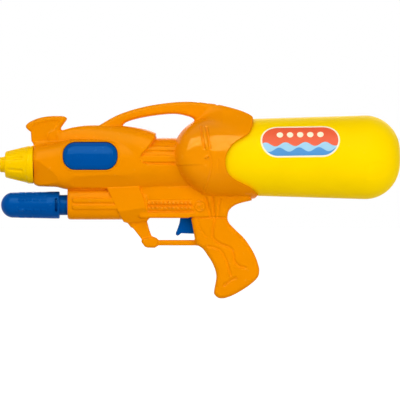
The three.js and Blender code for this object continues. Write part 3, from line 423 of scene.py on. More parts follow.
COWL_TOP = [
    (-186, 136.2), (-171.6, 140.5), (-158.4, 142.6), (-144, 143), (-124, 142.7),
    (-107.8, 141.4), (-92.4, 138.8), (-83.6, 136.2), (-79, 133.8),
]
COWL_REAR = [(-80.2, 129), (-84.5, 122), (-89.5, 115.5), (-94.6, 110), (-95.8, 104.5), (-93, 101)]
COWL_FOOT = [(-84, 98), (-80, 92), (-186, 92)]
BARREL_RIDGE = [(-184.8, 66), (-178.2, 82.5), (-168.3, 86.9), (-133, 88), (-99, 88), (-55, 89), (-30, 89)]
RIDGE_HALF, RIDGE_LEAN = 27.7, 36
RIDGE_EDGE = ([-115, -70], [0.5, 7])
NOSE_FOLD = [(-214, 110.4), (-207.9, 104.5), (-187.6, 84.7), (-174, 50)]
FOLD_HALF, FOLD_LEAN = 23.2, 24
BAY = px((147, 150), (142, 155), (140.8, 159), (143, 163), (150, 164.3), (176, 165), (190, 165),
         (190, 135), (158, 135), (152, 143))
BAY_DEPTH = 2.0
BAY_RIBS = [(px((146, 148.8), (190, 148.8)), 2.5, 1.5), (px((144.5, 159), (190, 159)), 3.9, 1.7)]


def barrel_oval(mould):
    """The barrel's plain loft, before its flats and its bay."""
    return oval_loft(mould, BARREL, BARREL_Z, soften=2.0)


def barrel_and_cowl(mould):
    """The barrel with its leaning flats and its ribbed bay, and the cowl on top."""
    ridge = facet(mould, BARREL_RIDGE, RIDGE_HALF, RIDGE_LEAN)
    barrel = trim(barrel_oval(mould), ridge, np.interp(mould.x, *RIDGE_EDGE))
    barrel = trim(barrel, facet(mould, NOSE_FOLD, FOLD_HALF, FOLD_LEAN), edge=0.5)
    barrel = barrel + panel(mould, BAY, BAY_DEPTH) - relief(mould, BAY_RIBS)
    side = mould.side_shape(smooth_line(COWL_TOP) + smooth_line(COWL_REAR) + COWL_FOOT)
    return join(barrel, trim(oval_loft(mould, COWL, BARREL_Z), side, edge=0.8), fillet=0.5)


# %% Carry handle and dome
HANDLE_TOP = [
    (-145, 140.8), (-120, 154.6), (-92, 163.2), (-64, 167.6), (-40, 168.6), (-14, 165.8),
    (9.9, 159.8), (20.2, 155.8), (25.6, 152.6), (27.8, 149.8),
]
HANDLE_UNDER = [
    (-34.6, 147), (-42, 152), (-58, 155.2), (-78, 153.8), (-98, 150.4), (-111.5, 146.2), (-116.8, 141.6),
]
HANDLE_REAR_FOOT = [(24, 138), (-26, 136)]
HANDLE_FRONT_FOOT = [(-118, 134), (-143, 134)]
HANDLE_HALF, HANDLE_EDGE = 9.0, 4.2
ROOF_REST = [(60, 149), (60, 20), (-145, 20)]
THUMB_NOTCHES, NOTCH_RADIUS = [(-33.2, 169.6), (-22.6, 168.4), (-11.8, 166.4)], 1.9
DOME_X, DOME_RADIUS, DOME_FRONT_POWER, DOME_REACH = -14.3, 45.6, 6.0, 1.035
HORN_EDGE = [
    (27.6, 157), (27.2, 150), (27, 145.8), (26.6, 142.5), (25.5, 139.2), (24, 135.9), (21.9, 132.6),
    (17.3, 129.2), (11.7, 126), (7.1, 122.7), (1.2, 116.1), (-2, 109.5), (-3, 102.9), (-2.5, 96.3),
    (-0.1, 89.7), (6.8, 83.1), (19.5, 76.5), (25.3, 73.2), (33, 66),
]
HORN_REST = [(28, 60.6), (28, 30), (120, 30), (120, 190), (27.6, 190)]
CRESCENT = [(-75, 98.2), (-27.5, 98.2), (-23, 91.3), (-24, 80.3), (-28.6, 68.2), (-42, 50), (-75, 50)]
CRESCENT_DEPTH, CRESCENT_GROWTH, CRESCENT_REAR, CRESCENT_FADE = 0.9, 0.09, -20, 22
DOME_BARS = [
    (px((200.6, 128), (204.2, 149)), 0.9, -1.2),
    (px((206.4, 128), (210.0, 149)), 0.9, -1.2),
    (px((203.5, 128), (207.2, 150)), 1.7, 0.8),
    (smooth_line(px((208, 151), (211, 160), (211, 170), (208.5, 180), (204, 191))), 0.8, -0.7),
    (px((218, 160), (218, 172)), 0.6, -0.5),
    (px((205.6, 158.6), (208, 157.8)), 0.9, 1.6),
]


def handle_form(mould):
    """The carry handle, a slab with rounded edges."""
    outline = smooth_line(HANDLE_TOP) + HANDLE_REAR_FOOT + smooth_line(HANDLE_UNDER) + HANDLE_FRONT_FOOT
    return slab(mould, outline, HANDLE_HALF, HANDLE_EDGE)


def dome_form(mould):
    """Round from the side and from behind, but squarer towards the front, where it meets the barrel."""
    ahead, lift = (np.minimum(mould.x - DOME_X, 0) / DOME_REACH) ** 2, (mould.z - TANK_Z) ** 2
    power = 2 + (DOME_FRONT_POWER - 2) * ahead / (ahead + lift + 1e-3)
    out, across = np.sqrt(ahead + lift) / DOME_RADIUS + 1e-3, np.abs(mould.y) / DOME_RADIUS
    slope = np.sqrt((power * out ** (power - 1)) ** 2 + (2 * across) ** 2) + 0.05
    return (out**power + across**2 - 1) / slope * DOME_RADIUS


# %% Dome and handle together
FILLET_FRONT, FILLET_GAIN, FILLET_X, FILLET_RUN = 3, 27, -30, 24


def with_crescent(mould, dome):
    """The dome with a recess at its foot that gets deeper downwards and fades out to the rear."""
    fade = np.clip((CRESCENT_REAR - mould.x) / CRESCENT_FADE, 0, 1)
    depth = (CRESCENT_DEPTH + CRESCENT_GROWTH * (CRESCENT[0][1] - mould.z)) * fade
    return dome + panel(mould, CRESCENT, depth=1.0, edge=1.2) * depth


def dome_and_handle(mould):
    """The dome and the carry handle under one roof line, with the rear edge that wraps the tank."""
    dome = with_crescent(mould, dome_form(mould) - relief(mould, DOME_BARS))
    fillet = FILLET_FRONT + FILLET_GAIN * np.clip((mould.x - FILLET_X) / FILLET_RUN, 0, 1)
    rear = join(dome, handle_form(mould), fillet)
    rear = trim(rear, mould.side_shape(smooth_line(HANDLE_TOP) + ROOF_REST), edge=0.8)
    for x, z in THUMB_NOTCHES:
        rear = cut(rear, rod_y(mould, x, z, NOTCH_RADIUS), edge=0.6)
    return cut(rear, mould.side_shape(smooth_line(HORN_EDGE) + HORN_REST), edge=0.8)


# %% Fin, pump housing, strap and frame
FIN_HALF, FIN_EDGE = 7.0, 3.2
FIN = [
    (-216.7, 135.3), (-220.8, 138.6), (-222.2, 141.8), (-218.9, 145.6), (-211.2, 149.4), (-202.4, 151.8),
    (-192.5, 152.8), (-182.6, 152.8), (-178.2, 151.6), (-177.3, 149.3), (-179.9, 145.4), (-183.4, 140.3),
    (-184.6, 136.6),
]
FIN_DISH = px((32.5, 127), (36.7, 124.3), (45, 121.8), (55, 120.6), (60.5, 120.8), (58.5, 125), (55, 130),
              (49, 133), (47.5, 137), (50, 142), (33, 142))
FIN_ROOT = [(-182.6, 122), (-205, 113), (-212.9, 115), (-212.9, 121.2), (-216, 125)]
HOUSING = [
    (-176.0, 15.1, 19, 14.5, 3),
    (-174.5, 16.6, 19, 16.0, 3),
    (-88.0, 16.6, 19, 16.0, 3),
]
STRAP = [
    (-133.1, 74), (-98, 76), (-95.7, 71.5), (-92.1, 62.7), (-88.9, 47.3), (-85.8, 41.1), (-89.3, 37),
    (-110, 35.2), (-114.4, 36.3), (-116.3, 39.6), (-120.5, 47.3), (-124.9, 57.2),
]
HOUSING_RIBS = [(px((75, 200.2), (130, 200.2)), 2.5, 1.5), (px((75, 207.2), (130, 207.2)), 2.5, 1.5)]
DISC, DISC_RADIUS, DISC_HALF = (-30.8, 53.6), 6.2, 16.7
RING_RADIUS, RING_HALF, RING_DEPTH, NUB_RADIUS = 4.2, 0.7, 0.9, 1.5
FRAME_GROOVES = [
    (px((145, 200.2), (192, 200.2)), 0.5, -0.7),
    (px((145, 205.4), (192, 205.4)), 0.8, -1.4),
    (px((148, 211.2), (194, 211.2)), 1.1, -2.0),
]
FAN_FLUTES = [
    (px((190, 217.6), (224.5, 217.6)), 0.8, -1.2),
    (px((205.5, 198), (210.5, 216)), 1.5, -1.5),
    (px((212.5, 198), (213.8, 216)), 1.5, -1.5),
    (px((219.5, 199), (217.5, 216)), 1.2, -1.0),
]
STRAP_FOLD = [(-120, 47.5), (-94, 51.5)]
STRAP_HALF, STRAP_LEAN = 18.5, 34
LOWER_FRAME, FRAME_HALF = [(-97, 40.7), (-3, 40.7), (-3, 68), (-37, 76), (-97, 76)], 15.5


def fin_form(mould):
    """The front sight fin with its shallow dish."""
    fin = slab(mould, smooth_line(FIN) + FIN_ROOT, FIN_HALF, FIN_EDGE)
    return fin + panel(mould, FIN_DISH, depth=0.8, edge=1.5)


def lower_forms(mould):
    """The pump housing, its strap, the lower frame and the disc on it, with its ring and nub."""
    housing = oval_loft(mould, HOUSING, PUMP_Z, soften=0.8) - relief(mould, HOUSING_RIBS)
    strap = slab(mould, STRAP, STRAP_HALF, edge=1.2)
    strap = trim(strap, facet(mould, STRAP_FOLD, STRAP_HALF, STRAP_LEAN), edge=0.4)
    plate = slab(mould, LOWER_FRAME, FRAME_HALF, edge=1.6)
    plate = plate - relief(mould, FRAME_GROOVES + FAN_FLUTES)
    out = rod_y(mould, *DISC, 0)
    ring = RING_DEPTH * soft_step(np.abs(out - RING_RADIUS) - RING_HALF, edge=1.0)
    ring = ring - RING_DEPTH * soft_step(out - NUB_RADIUS, edge=1.0)
    disc = trim(out - DISC_RADIUS, np.abs(mould.y) - DISC_HALF + ring, edge=0.5)
    return join(join(join(housing, strap, fillet=0.4), plate, fillet=0.6), disc, fillet=0.3)


# %% Trigger guard and grip
GUARD = [
    (-112.5, 38), (-106.7, 30.5), (-104.5, 29.7), (-94.8, 17.3), (-95, 14.3), (-91.3, 9.4), (-88.6, 8.3),
    (-80.3, 8.1), (-76.6, 10.6), (-32, 10.6), (-32, 16.6), (-76.6, 16.6), (-78.7, 19), (-84, 20.9),
    (-86.9, 28.6), (-89.1, 37.2), (-94, 46), (-106, 46),
]
GUARD_KNOB = [
    (-94.8, 17.5), (-95, 14.3), (-91.3, 9.2), (-88.6, 8.3), (-80.3, 8.1), (-76.8, 10.6), (-76.8, 17.2),
    (-84, 20.9),
]
GUARD_HALF, KNOB_HALF, GRIP_HALF = 6.5, 8.5, 15.0
GRIP = [
    (26.4, 60.2), (9.9, 55.8), (1.5, 49.6), (-0.6, 41.3), (0.9, 35.8), (6.8, 29.2), (17.1, 19.3),
    (24.2, 9.4), (29.7, -0.6), (33.2, -10.5), (34.3, -17.1), (32.8, -23.7), (26.8, -30.3), (17.7, -36.9),
    (6.2, -43.5), (-2.1, -46.7), (-7, -47.4), (-11, -46.7), (-14.7, -43.4), (-15.4, -40), (-13.1, -27),
    (-13.2, -20.4), (-15, -13.8), (-18, -7.2), (-22.3, -0.6), (-26.8, 6), (-31, 9.4), (-34.6, 11.2),
]
GRIP_GROOVES = [
    (smooth_line(px((215, 219), (212.3, 232.5), (213.8, 238.8), (220, 243.5), (227.5, 246.3), (231.9, 250),
                    (233.5, 255), (234.4, 261), (238.8, 265.6), (245, 267.5))), 1.2, -1.3),
    (smooth_line(px((207.5, 246.3), (215, 247.5), (221.3, 251.3), (225.6, 258.8), (228, 266), (230.6, 275))),
     1.2, -1.2),
    (smooth_line(px((196.9, 219), (200, 227.5), (206.3, 237))), 1.1, -0.8),
    (smooth_line(px((223.8, 285), (230, 280), (236, 277.5))), 1.1, -1.2),
]
GRIP_FRONT = [(-36.5, 17.6), (-38, 26.4), (-40.6, 40.2), (-40.6, 66), (22, 68)]


def guard_and_grip(mould):
    """The trigger guard with its knob, and the grip with its flowing lines."""
    guard = slab(mould, GUARD, GUARD_HALF, edge=1.2)
    guard = join(guard, slab(mould, GUARD_KNOB, KNOB_HALF, edge=2.2), fillet=0.6)
    grip = slab(mould, smooth_line(GRIP) + GRIP_FRONT, GRIP_HALF, edge=5.0)
    grip = grip - relief(mould, GRIP_GROOVES, edge=2.0) - relief(mould, FAN_FLUTES)
    return join(guard, grip, fillet=1.5)


# %% All forms of one half together
def outside_half(mould):
    """The outside of the left half, with its fillets and relief."""
    front = join(barrel_and_cowl(mould), fin_form(mould), fillet=4.0)
    top = join(front, dome_and_handle(mould), fillet=0.4)
    lower = join(lower_forms(mould), guard_and_grip(mould), fillet=0.6)
    return join(top, lower, fillet=0.6)


outside = outside_half(half_mould)
print("grid", outside.shape)

# %% [markdown]
# ## Hollow, openings and the two halves
#
# The wall is about 2 mm thick, so the same field moved inwards by the wall is the hollow. Ribs and posts
# inside hold the pump, the pipe, the tank's socket and the valve. Then come the openings: the sleeve for
# the tank, the holes for the pump rod and the barrel pipe, the slot for the trigger and the windows for
# the blue inserts. The screws go in from the right, so only the right half has their deep round holes.

# %% Ribs and posts inside
WALL, RIB_MARGIN = 2.2, 1
SCREWS = [
    (-200, 138), (-127, 134.5), (4.4, 157), (-182, 82.5), (-75, 83), (-87.5, 14.6), (-6, 16.5), (2, -33),
]
SCREW_SEAT, SCREW_POST = 2.2, 5.2
PIN, PIN_POST, PIN_HOLE, PIN_REACH = (-45, 49.5), 4.6, 2.1, 12.3
VALVE_Z = 36.0
SEATS = [
    # axis height, radius, front and rear, for the barrel pipe, the tank's socket and the valve
    (BARREL_Z, 5.4, -230, -90),
    (TANK_Z, 22.4, -46.5, -26),
    (VALVE_Z, 6.9, -30, -2.4),
]
RIBS = [
    # front, thickness, lowest, highest
    (-212.6, 2.4, 60, 140),
    (-100, 2.4, 73.5, 111.5),
    (-39.6, 2.5, 80.5, 160),
    (-34.0, 2.5, 80.5, 160),
    (-25, 2, 28.5, 43.5),
    (-8, 2, 28.5, 43.5),
]


def with_ribs(mould, wall, outer):
    """The wall with its ribs and posts, which have seats for the pieces that they hold."""
    within = outer + RIB_MARGIN
    for front, thickness, low, high in RIBS:
        rib = np.maximum(span(mould.x - front, 0, thickness), span(mould.z, low, high))
        wall = np.minimum(wall, np.maximum(rib, within))
    for (x, z), radius in [(place, SCREW_POST) for place in SCREWS] + [(PIN, PIN_POST)]:
        wall = np.minimum(wall, np.maximum(rod_y(mould, x, z, radius), within))
    for seat in SEATS:
        wall = cut(wall, rod_x(mould, *seat))
    return cut(wall, np.maximum(rod_y(mould, *PIN, PIN_HOLE), np.abs(mould.y) - PIN_REACH))


# %% Openings
SEAM = 0.12
SLEEVE, ROD_HOLE = (TANK_Z, 42.8, DOME_X, 60), (PUMP_Z, 11.8, -190, -160)
INSERT = {"x": -150.6, "z": 108.6, "length": 59.4, "height": 30.2, "corner": 13.6}
WINDOW_FIT, WINDOW_FLOOR = 0.2, -4
RIM_REACH, RIM_MIDDLE, RIM_RISE, RIM_FLOOR = 1.5, 1.2, 0.7, -12
TRIGGER_SLOT_X, TRIGGER_SLOT_Z, TRIGGER_SLOT_HALF = (-59, -24), (18.5, 56.5), 5.0
SHANK_HOLE, SHANK_REACH, HEAD_HOLE, HEAD_FIT = 1.7, 5, 3.4, 0.3


def lozenge(mould, margin=0.0):
    """Side-view distance from the insert's round-ended outline, grown by a margin."""
    reach_x = INSERT["length"] / 2 - INSERT["corner"]
    reach_z = INSERT["height"] / 2 - INSERT["corner"]
    x = np.maximum(np.abs(mould.x - INSERT["x"]) - reach_x, 0)
    z = np.maximum(np.abs(mould.z - INSERT["z"]) - reach_z, 0)
    return np.sqrt(x**2 + z**2) - INSERT["corner"] - margin


def hollow_half(mould, outer):
    """One half with its wall, ribs, window rim and openings."""
    rim = np.clip(RIM_REACH - np.abs(lozenge(mould) - RIM_MIDDLE), 0, 1) * (mould.y < RIM_FLOOR)
    wall = with_ribs(mould, cut(outer - RIM_RISE * rim, outer + WALL), outer)
    wall = cut(wall, rod_x(mould, *SLEEVE), edge=0.3)
    wall = cut(wall, rod_x(mould, *ROD_HOLE), edge=0.4)
    slot = np.maximum(span(mould.x, *TRIGGER_SLOT_X), span(mould.z, *TRIGGER_SLOT_Z))
    wall = cut(wall, np.maximum(slot, np.abs(mould.y) - TRIGGER_SLOT_HALF))
    return cut(wall, np.maximum(lozenge(mould, WINDOW_FIT), mould.y - WINDOW_FLOOR), edge=0.3)


def with_screw_holes(mould, field, heads):
    """A field with the screws' holes, and wide ones for their heads if asked."""
    for x, z in SCREWS:
        field = cut(field, np.maximum(rod_y(mould, x, z, SHANK_HOLE), -mould.y - SHANK_REACH))
        if heads:
            deep = mould.y + SCREW_SEAT - HEAD_FIT
            field = cut(field, np.maximum(rod_y(mould, x, z, HEAD_HOLE), deep), edge=0.4)
    return field


# %% Fewer faces where nobody looks
FACE_LIMIT, INNER_DEPTH, OUTER_WEIGHT = 190000, 1.2, 0.1


def thin_out(piece, mould, outer):
    """Collapse edges, mostly on the inner wall, until the piece has few enough triangles."""
    places = np.empty(3 * len(piece.data.vertices), np.float32)
    piece.data.vertices.foreach_get("co", places)
    cells = np.rint((places.reshape(-1, 3) / MM - mould.low) / mould.step).astype(int).T
    inner = outer[tuple(cells)] < -INNER_DEPTH
    group = piece.vertex_groups.new(name="inner_wall")
    group.add(np.flatnonzero(inner).tolist(), 1.0, "REPLACE")
    group.add(np.flatnonzero(~inner).tolist(), OUTER_WEIGHT, "REPLACE")
    fewer = piece.modifiers.new("fewer_faces", "DECIMATE")
    fewer.ratio = FACE_LIMIT / (2 * len(piece.data.polygons))
    fewer.vertex_group = group.name
    mesh = bpy.data.meshes.new_from_object(piece.evaluated_get(bpy.context.evaluated_depsgraph_get()))
    piece.modifiers.clear()
    piece.vertex_groups.clear()
    piece.data = mesh
    print(piece.name, "thinned to", len(mesh.polygons), "triangles")


# %% Both halves
def half_shell(name, heads):
    """The left half as a thinned mesh, with or without wide holes for screw heads."""
    field = with_screw_holes(half_mould, shell_field, heads)
    piece = mesh_from_field(name, half_mould, trim(field, half_mould.y + SEAM, edge=0.35))
    thin_out(piece, half_mould, outside)
    return piece


def mirrored(piece):
    """The same piece on the other side of the middle plane."""
    piece.data.transform(Matrix.Diagonal((1, -1, 1, 1)))
    piece.data.flip_normals()
    return piece


shell_field = hollow_half(half_mould, outside)
left_shell = half_shell("left_shell_moulding", False)
right_shell = mirrored(half_shell("right_shell_moulding", True))

# %% [markdown]
# ## Plastics, rubber and steel
#
# The toy is injection-moulded in three bright colours, straight from the mould: glossy, with a faint
# orange-peel grain, slight drifts of shade where the plastic flowed and hair-fine scratches. Its edges are a
# little paler, partly as rubbing wear and partly as a painted highlight, and its creases get a painted shade.
# These effects are on every piece, so they are one node group, and each material sets its own values and
# keeps its own shader.


# %% The surface group
# The second colour is for paler edges, partly rubbing wear and partly a painted highlight; one value sets how
# strong they and the scratches are.
SURFACE_INPUTS = {
    "Colour": "Color", "Rubbed and highlit edges": "Color", "Drift": "Float", "Grain": "Float", "Gloss": "Float", "Wear and edge highlight": "Float",
}
SURFACE_OUTPUTS = {"Colour": "Color", "Roughness": "Float", "Height": "Float"}
FLOW_SCALE, BLOTCH_SCALE, SCRATCH_SCALE = 22, 140, 210
SCRATCH_STRETCH, SCRATCH_TURN = (1, 0.06, 1), (0.3, 0.5, 0.2)


def map_range(tree, value, low, high, to_low, to_high):
    """A value spread from one range to another and held at the ends."""
    inputs = {"Value": value, "From Min": low, "From Max": high, "To Min": to_low, "To Max": to_high}
    return add_node(tree, "ShaderNodeMapRange", inputs).outputs["Result"]


def mix_colours(tree, mask, under, over):
    """One colour laid over another where a mask is 1."""
    inputs = {"Factor": mask, "A": under, "B": over}
    return add_node(tree, "ShaderNodeMix", inputs, data_type="RGBA").outputs["Result"]


def surface_group():
    """Colour, roughness and height of a moulded surface, as a shader node group."""
    tree = bpy.data.node_groups.new("moulded_surface", "ShaderNodeTree")
    for way, sockets in (("INPUT", SURFACE_INPUTS), ("OUTPUT", SURFACE_OUTPUTS)):
        for name, kind in sockets.items():
            tree.interface.new_socket(name, in_out=way, socket_type="NodeSocket" + kind)
    given = tree.nodes.new("NodeGroupInput").outputs
    where = tree.nodes.new("ShaderNodeTexCoord").outputs["Object"]

    def noise(scale, detail, place=where):
        inputs = {"Vector": place, "Scale": scale, "Detail": detail}
        return add_node(tree, "ShaderNodeTexNoise", inputs).outputs["Fac"]

    def times(a, b):
        return maths(tree, "MULTIPLY", a, b)

    def plus(a, b):
        return maths(tree, "ADD", a, b)

    blotch = noise(BLOTCH_SCALE, 3)
    stretched = {"Vector": where, "Scale": SCRATCH_STRETCH, "Rotation": SCRATCH_TURN}
    streaks = noise(SCRATCH_SCALE, 2, add_node(tree, "ShaderNodeMapping", stretched).outputs[0])
    scuff = times(map_range(tree, streaks, 0.66, 0.74, 0, 1), given["Wear and edge highlight"])
    bend = tree.nodes.new("ShaderNodeNewGeometry").outputs["Pointiness"]
    # Paler edges where the surface bends outwards: partly rubbing wear and partly a painted highlight.
    edge = times(map_range(tree, bend, 0.53, 0.62, 0, 1), map_range(tree, blotch, 0.3, 0.7, 0.3, 1))
    rubbed_and_highlit_edges = times(edge, given["Wear and edge highlight"])
    # Painted shade: the colour is darkened where the surface bends inwards, in creases, grooves and joins.
    painted_crease_shade = map_range(tree, bend, 0.4, 0.49, 0.72, 1)
    swing = times(map_range(tree, noise(FLOW_SCALE, 2), 0.3, 0.7, -1, 1), given["Drift"])
    shade = {"Color": given["Colour"], "Value": times(plus(swing, 1), painted_crease_shade)}
    # The colour with its random drift of tone and with the painted shade in creases.
    drifted_and_crease_shaded = add_node(tree, "ShaderNodeHueSaturation", shade).outputs[0]
    # Mask for the paler colour: scratches, and edges that are partly rubbing wear and partly a painted
    # highlight.
    worn_and_edge_highlit = maths(tree, "MINIMUM", plus(rubbed_and_highlit_edges, times(scuff, 0.25)), 1)
    rough = plus(given["Gloss"], map_range(tree, blotch, 0.3, 0.7, -0.03, 0.05))
    feed(tree, tree.nodes.new("NodeGroupOutput"), {
        "Colour": mix_colours(tree, worn_and_edge_highlit, drifted_and_crease_shaded, given["Rubbed and highlit edges"]),
        "Roughness": plus(rough, times(scuff, 0.2)),
        "Height": maths(tree, "SUBTRACT", noise(given["Grain"], 2), times(scuff, 0.5)),
    })
    return tree


moulded_surface = surface_group()


# %% Materials
BUMP_HEIGHT, POLISH_FADE = 0.0004, 0.006
ORANGE_GLEAM, YELLOW_GLEAM, BLUE_GLEAM = (1, 0.72, 0.2, 1), (1, 0.85, 0.15, 1), (0.2, 0.6, 1, 1)


def finish(name, colour, rubbed_and_highlit_edges, gloss=0.09, drift=0.03, grain=900, wear_and_edge_highlight=0.45, bump=0.012, metal=0,
           shine=0.06, tint=WHITE):
    """A material on the surface group. Gloss is the roughness, grain the number of bumps to a metre."""
    material = bpy.data.materials.new(name)
    material.use_nodes = True
    tree = material.node_tree
    values = {"Colour": colour, "Rubbed and highlit edges": rubbed_and_highlit_edges, "Drift": drift, "Grain": grain, "Gloss": gloss, "Wear and edge highlight": wear_and_edge_highlight}
    surface = add_node(tree, "ShaderNodeGroup", values, node_tree=moulded_surface).outputs
    bumps = {"Strength": bump, "Distance": BUMP_HEIGHT, "Height": surface["Height"]}
    feed(tree, tree.nodes["Principled BSDF"], {
        "Base Color": surface["Colour"],
        "Roughness": surface["Roughness"],
        "Normal": add_node(tree, "ShaderNodeBump", bumps).outputs["Normal"],
        "Metallic": metal,
        "Specular IOR Level": shine,
        "Specular Tint": tint,
    })
    return material


def surface_of(material):
    """The surface group's node in a material."""
    return next(node for node in material.node_tree.nodes if node.type == "GROUP")


def polish_near(material, centre, radius, gloss, shine):
    """Polish inside a circle drawn in the side view. Gloss and shine are pairs, inside and outside."""
    tree = material.node_tree
    where = tree.nodes.new("ShaderNodeTexCoord").outputs["Object"]
    flat = add_node(tree, "ShaderNodeVectorMath", {0: where, 1: (1, 0, 1)}, operation="MULTIPLY").outputs[0]
    away = add_node(tree, "ShaderNodeVectorMath", {0: flat, 1: centre}, operation="DISTANCE").outputs["Value"]
    levels = [map_range(tree, away, radius, radius + POLISH_FADE, *pair) for pair in (gloss, shine)]
    feed(tree, surface_of(material), {"Gloss": levels[0]})
    feed(tree, tree.nodes["Principled BSDF"], {"Specular IOR Level": levels[1]})


# %% The plastics, the rubber and the steel
POLISH_CENTRE = Vector((DOME_X, 0, TANK_Z + 6)) * MM
# Each material's second colour is its paler edge colour, partly rubbing wear and partly painted highlight.
shell_plastic = finish("orange_shell_plastic", ORANGE, linear(255, 186, 80), tint=ORANGE_GLEAM)
polish_near(shell_plastic, POLISH_CENTRE, radius=0.030, gloss=(0.06, 0.25), shine=(0.1, 0.02))
tank_plastic = finish("yellow_tank_plastic", YELLOW, linear(255, 232, 120), gloss=0.42, drift=0.02, wear_and_edge_highlight=0.15,
                      shine=0.012, tint=YELLOW_GLEAM)
nozzle_plastic = finish("yellow_nozzle_plastic", linear(252, 200, 0), linear(255, 228, 110), shine=0.03,
                        tint=YELLOW_GLEAM)
blue_plastic = finish("blue_gloss_plastic", BLUE, linear(70, 140, 205), shine=0.03, tint=BLUE_GLEAM)
inner_plastic = finish("ivory_inner_plastic", IVORY, WHITE, gloss=0.45, wear_and_edge_highlight=0.1)
seal_rubber = finish("black_seal_rubber", linear(32, 32, 34), linear(70, 70, 70), gloss=0.7, bump=0.1)
hose_plastic = finish("pale_hose_plastic", linear(206, 216, 220), WHITE, gloss=0.3, wear_and_edge_highlight=0.1)
zinc_steel = finish("zinc_plated_steel", linear(182, 186, 190), WHITE, gloss=0.3, metal=1, shine=0.5, bump=0.08)
print("materials:", len(bpy.data.materials))


# %% Finishing a piece
def fit(piece, material, body, slot, *nodes):
    """Give a piece its material, the body that carries it and the solids that it stands for."""
    piece.data.materials.clear()
    piece.data.materials.append(material)
    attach(piece, body)
    if nodes:
        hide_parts(*nodes)


fit(left_shell, shell_plastic, "shell", "shell", "left_shell")
fit(right_shell, shell_plastic, "shell", "shell", "right_shell")

# %% [markdown]
# ## Beads on the frame
#
# Two rows of small round beads run along each side of the lower frame. They are too small for the shell's
# grid, so each is a little ball half sunk in the wall, and all on one side are one mesh.

# %% Two rows of beads
BEAD_ROWS, BEAD_COUNT, BEAD_PITCH, BEAD_FRONT = (57.2, 51.9), 12, 4.5, -91.3
BEAD_RADIUS, BEAD_OUT = 1.65, FRAME_HALF + 0.1


def mesh_of(build, name):
    """The mesh that was built, and an end to the building."""
    mesh = bpy.data.meshes.new(name)
    build.to_mesh(mesh)
    build.free()
    return mesh


def bead_rows(name, side):
    """The beads of one side as one mesh."""
    build = bmesh.new()
    for z in BEAD_ROWS:
        for i in range(BEAD_COUNT):
            place = Vector((BEAD_FRONT + i * BEAD_PITCH, side * BEAD_OUT, z)) * MM
            made = bmesh.ops.create_uvsphere(build, u_segments=14, v_segments=10, radius=BEAD_RADIUS * MM)
            bmesh.ops.translate(build, vec=place, verts=made["verts"])
    return smooth_piece(name, mesh_of(build, name))


for name, side in (("left_bead_rows", -1), ("right_bead_rows", 1)):
    fit(bead_rows(name, side), shell_plastic, "shell", "shell")

# %% [markdown]
# ## Blue inserts
#
# On each side of the barrel a domed blue lens snaps into its window from inside, with a thin flange behind
# the wall. The lens follows the barrel's oval, rises from its rim on a soft bevel and is nearly flat on top.

# %% Inserts
LENS_FIT, LENS_RISE, BEVEL_RISE, BEVEL_WIDTH = 0.25, 0.2, 2.2, 4.2
CROWN_RISE, CROWN_START, CROWN_WIDTH = 0.5, 5.5, 6
FLANGE_MARGIN, FLANGE_GAP, FLANGE_BACK = 3, 0.4, 2.0
insert_mould = Mould((-188, -36, 86), (-113, -3, 131), step=0.5)


def insert_field(mould):
    """The lens on its bevel, and the flange behind the wall."""
    barrel, outline = barrel_oval(mould), lozenge(mould, -LENS_FIT)
    rise = LENS_RISE + BEVEL_RISE * np.clip(-outline / BEVEL_WIDTH, 0, 1)
    rise = rise + CROWN_RISE * np.clip((-outline - CROWN_START) / CROWN_WIDTH, 0, 1)
    lens = trim(barrel - rise, outline, edge=0.8)
    flange = trim(barrel + WALL + FLANGE_GAP, lozenge(mould, FLANGE_MARGIN), edge=0.2)
    return np.maximum(cut(join(lens, flange), barrel + WALL + FLANGE_BACK), mould.y - WINDOW_FLOOR)


for name, node in (("left_lens", "left_insert"), ("right_lens", "right_insert")):
    lens = mesh_from_field(name, insert_mould, insert_field(insert_mould))
    fit(lens if node.startswith("left") else mirrored(lens), blue_plastic, "shell", "insert", node)

# %% [markdown]
# ## Turned fields: nozzle and pump handle
#
# The nozzle and the pump handle are round, with flutes and grip bars cut or raised on them. A half profile
# is drawn once and turned about its axis as a field; then the flutes are cut and the bars joined with
# small fillets.


# %% A profile turned about a level axis
def turned_field(mould, axis_z, loop):
    """The field of a closed half profile, points of distance along X and radius, turned about X."""
    away = mould.from_axis(axis_z)[0]
    high = (mould.x.max() + mould.step / 2, mould.step / 2, float(away.max()) + 2 * mould.step)
    half = Mould((mould.low[0], 0, 0), high, mould.step).side_shape(loop)[:, 0, :]
    spot = away / mould.step
    near = np.minimum(spot.astype(int), half.shape[1] - 2)
    share = (spot - near).astype(np.float32)
    return half[:, near] * (1 - share) + half[:, near + 1] * share


def bar_field(mould, start, end, radius):
    """A straight bar with round ends between two points."""
    run = end - start
    parts = list(zip((mould.x, mould.y, mould.z), start, run))
    share = np.clip(sum((axis - a) * d for axis, a, d in parts) / (run @ run), 0, 1)
    return np.sqrt(sum((axis - a - share * d) ** 2 for axis, a, d in parts)) - radius


def spokes(count):
    """Even directions about X, with the first one half a step from level."""
    turns = (np.arange(count) + 0.5) / count * 2 * math.pi
    return [np.array((0, math.cos(turn), math.sin(turn))) for turn in turns]


def arc(x, z, reach_x, reach_z, start, end, steps):
    """Points of an elliptic arc, angles in degrees."""
    turn = np.radians(np.linspace(start, end, steps))
    return [(x + reach_x * math.cos(t), z + reach_z * math.sin(t)) for t in turn]


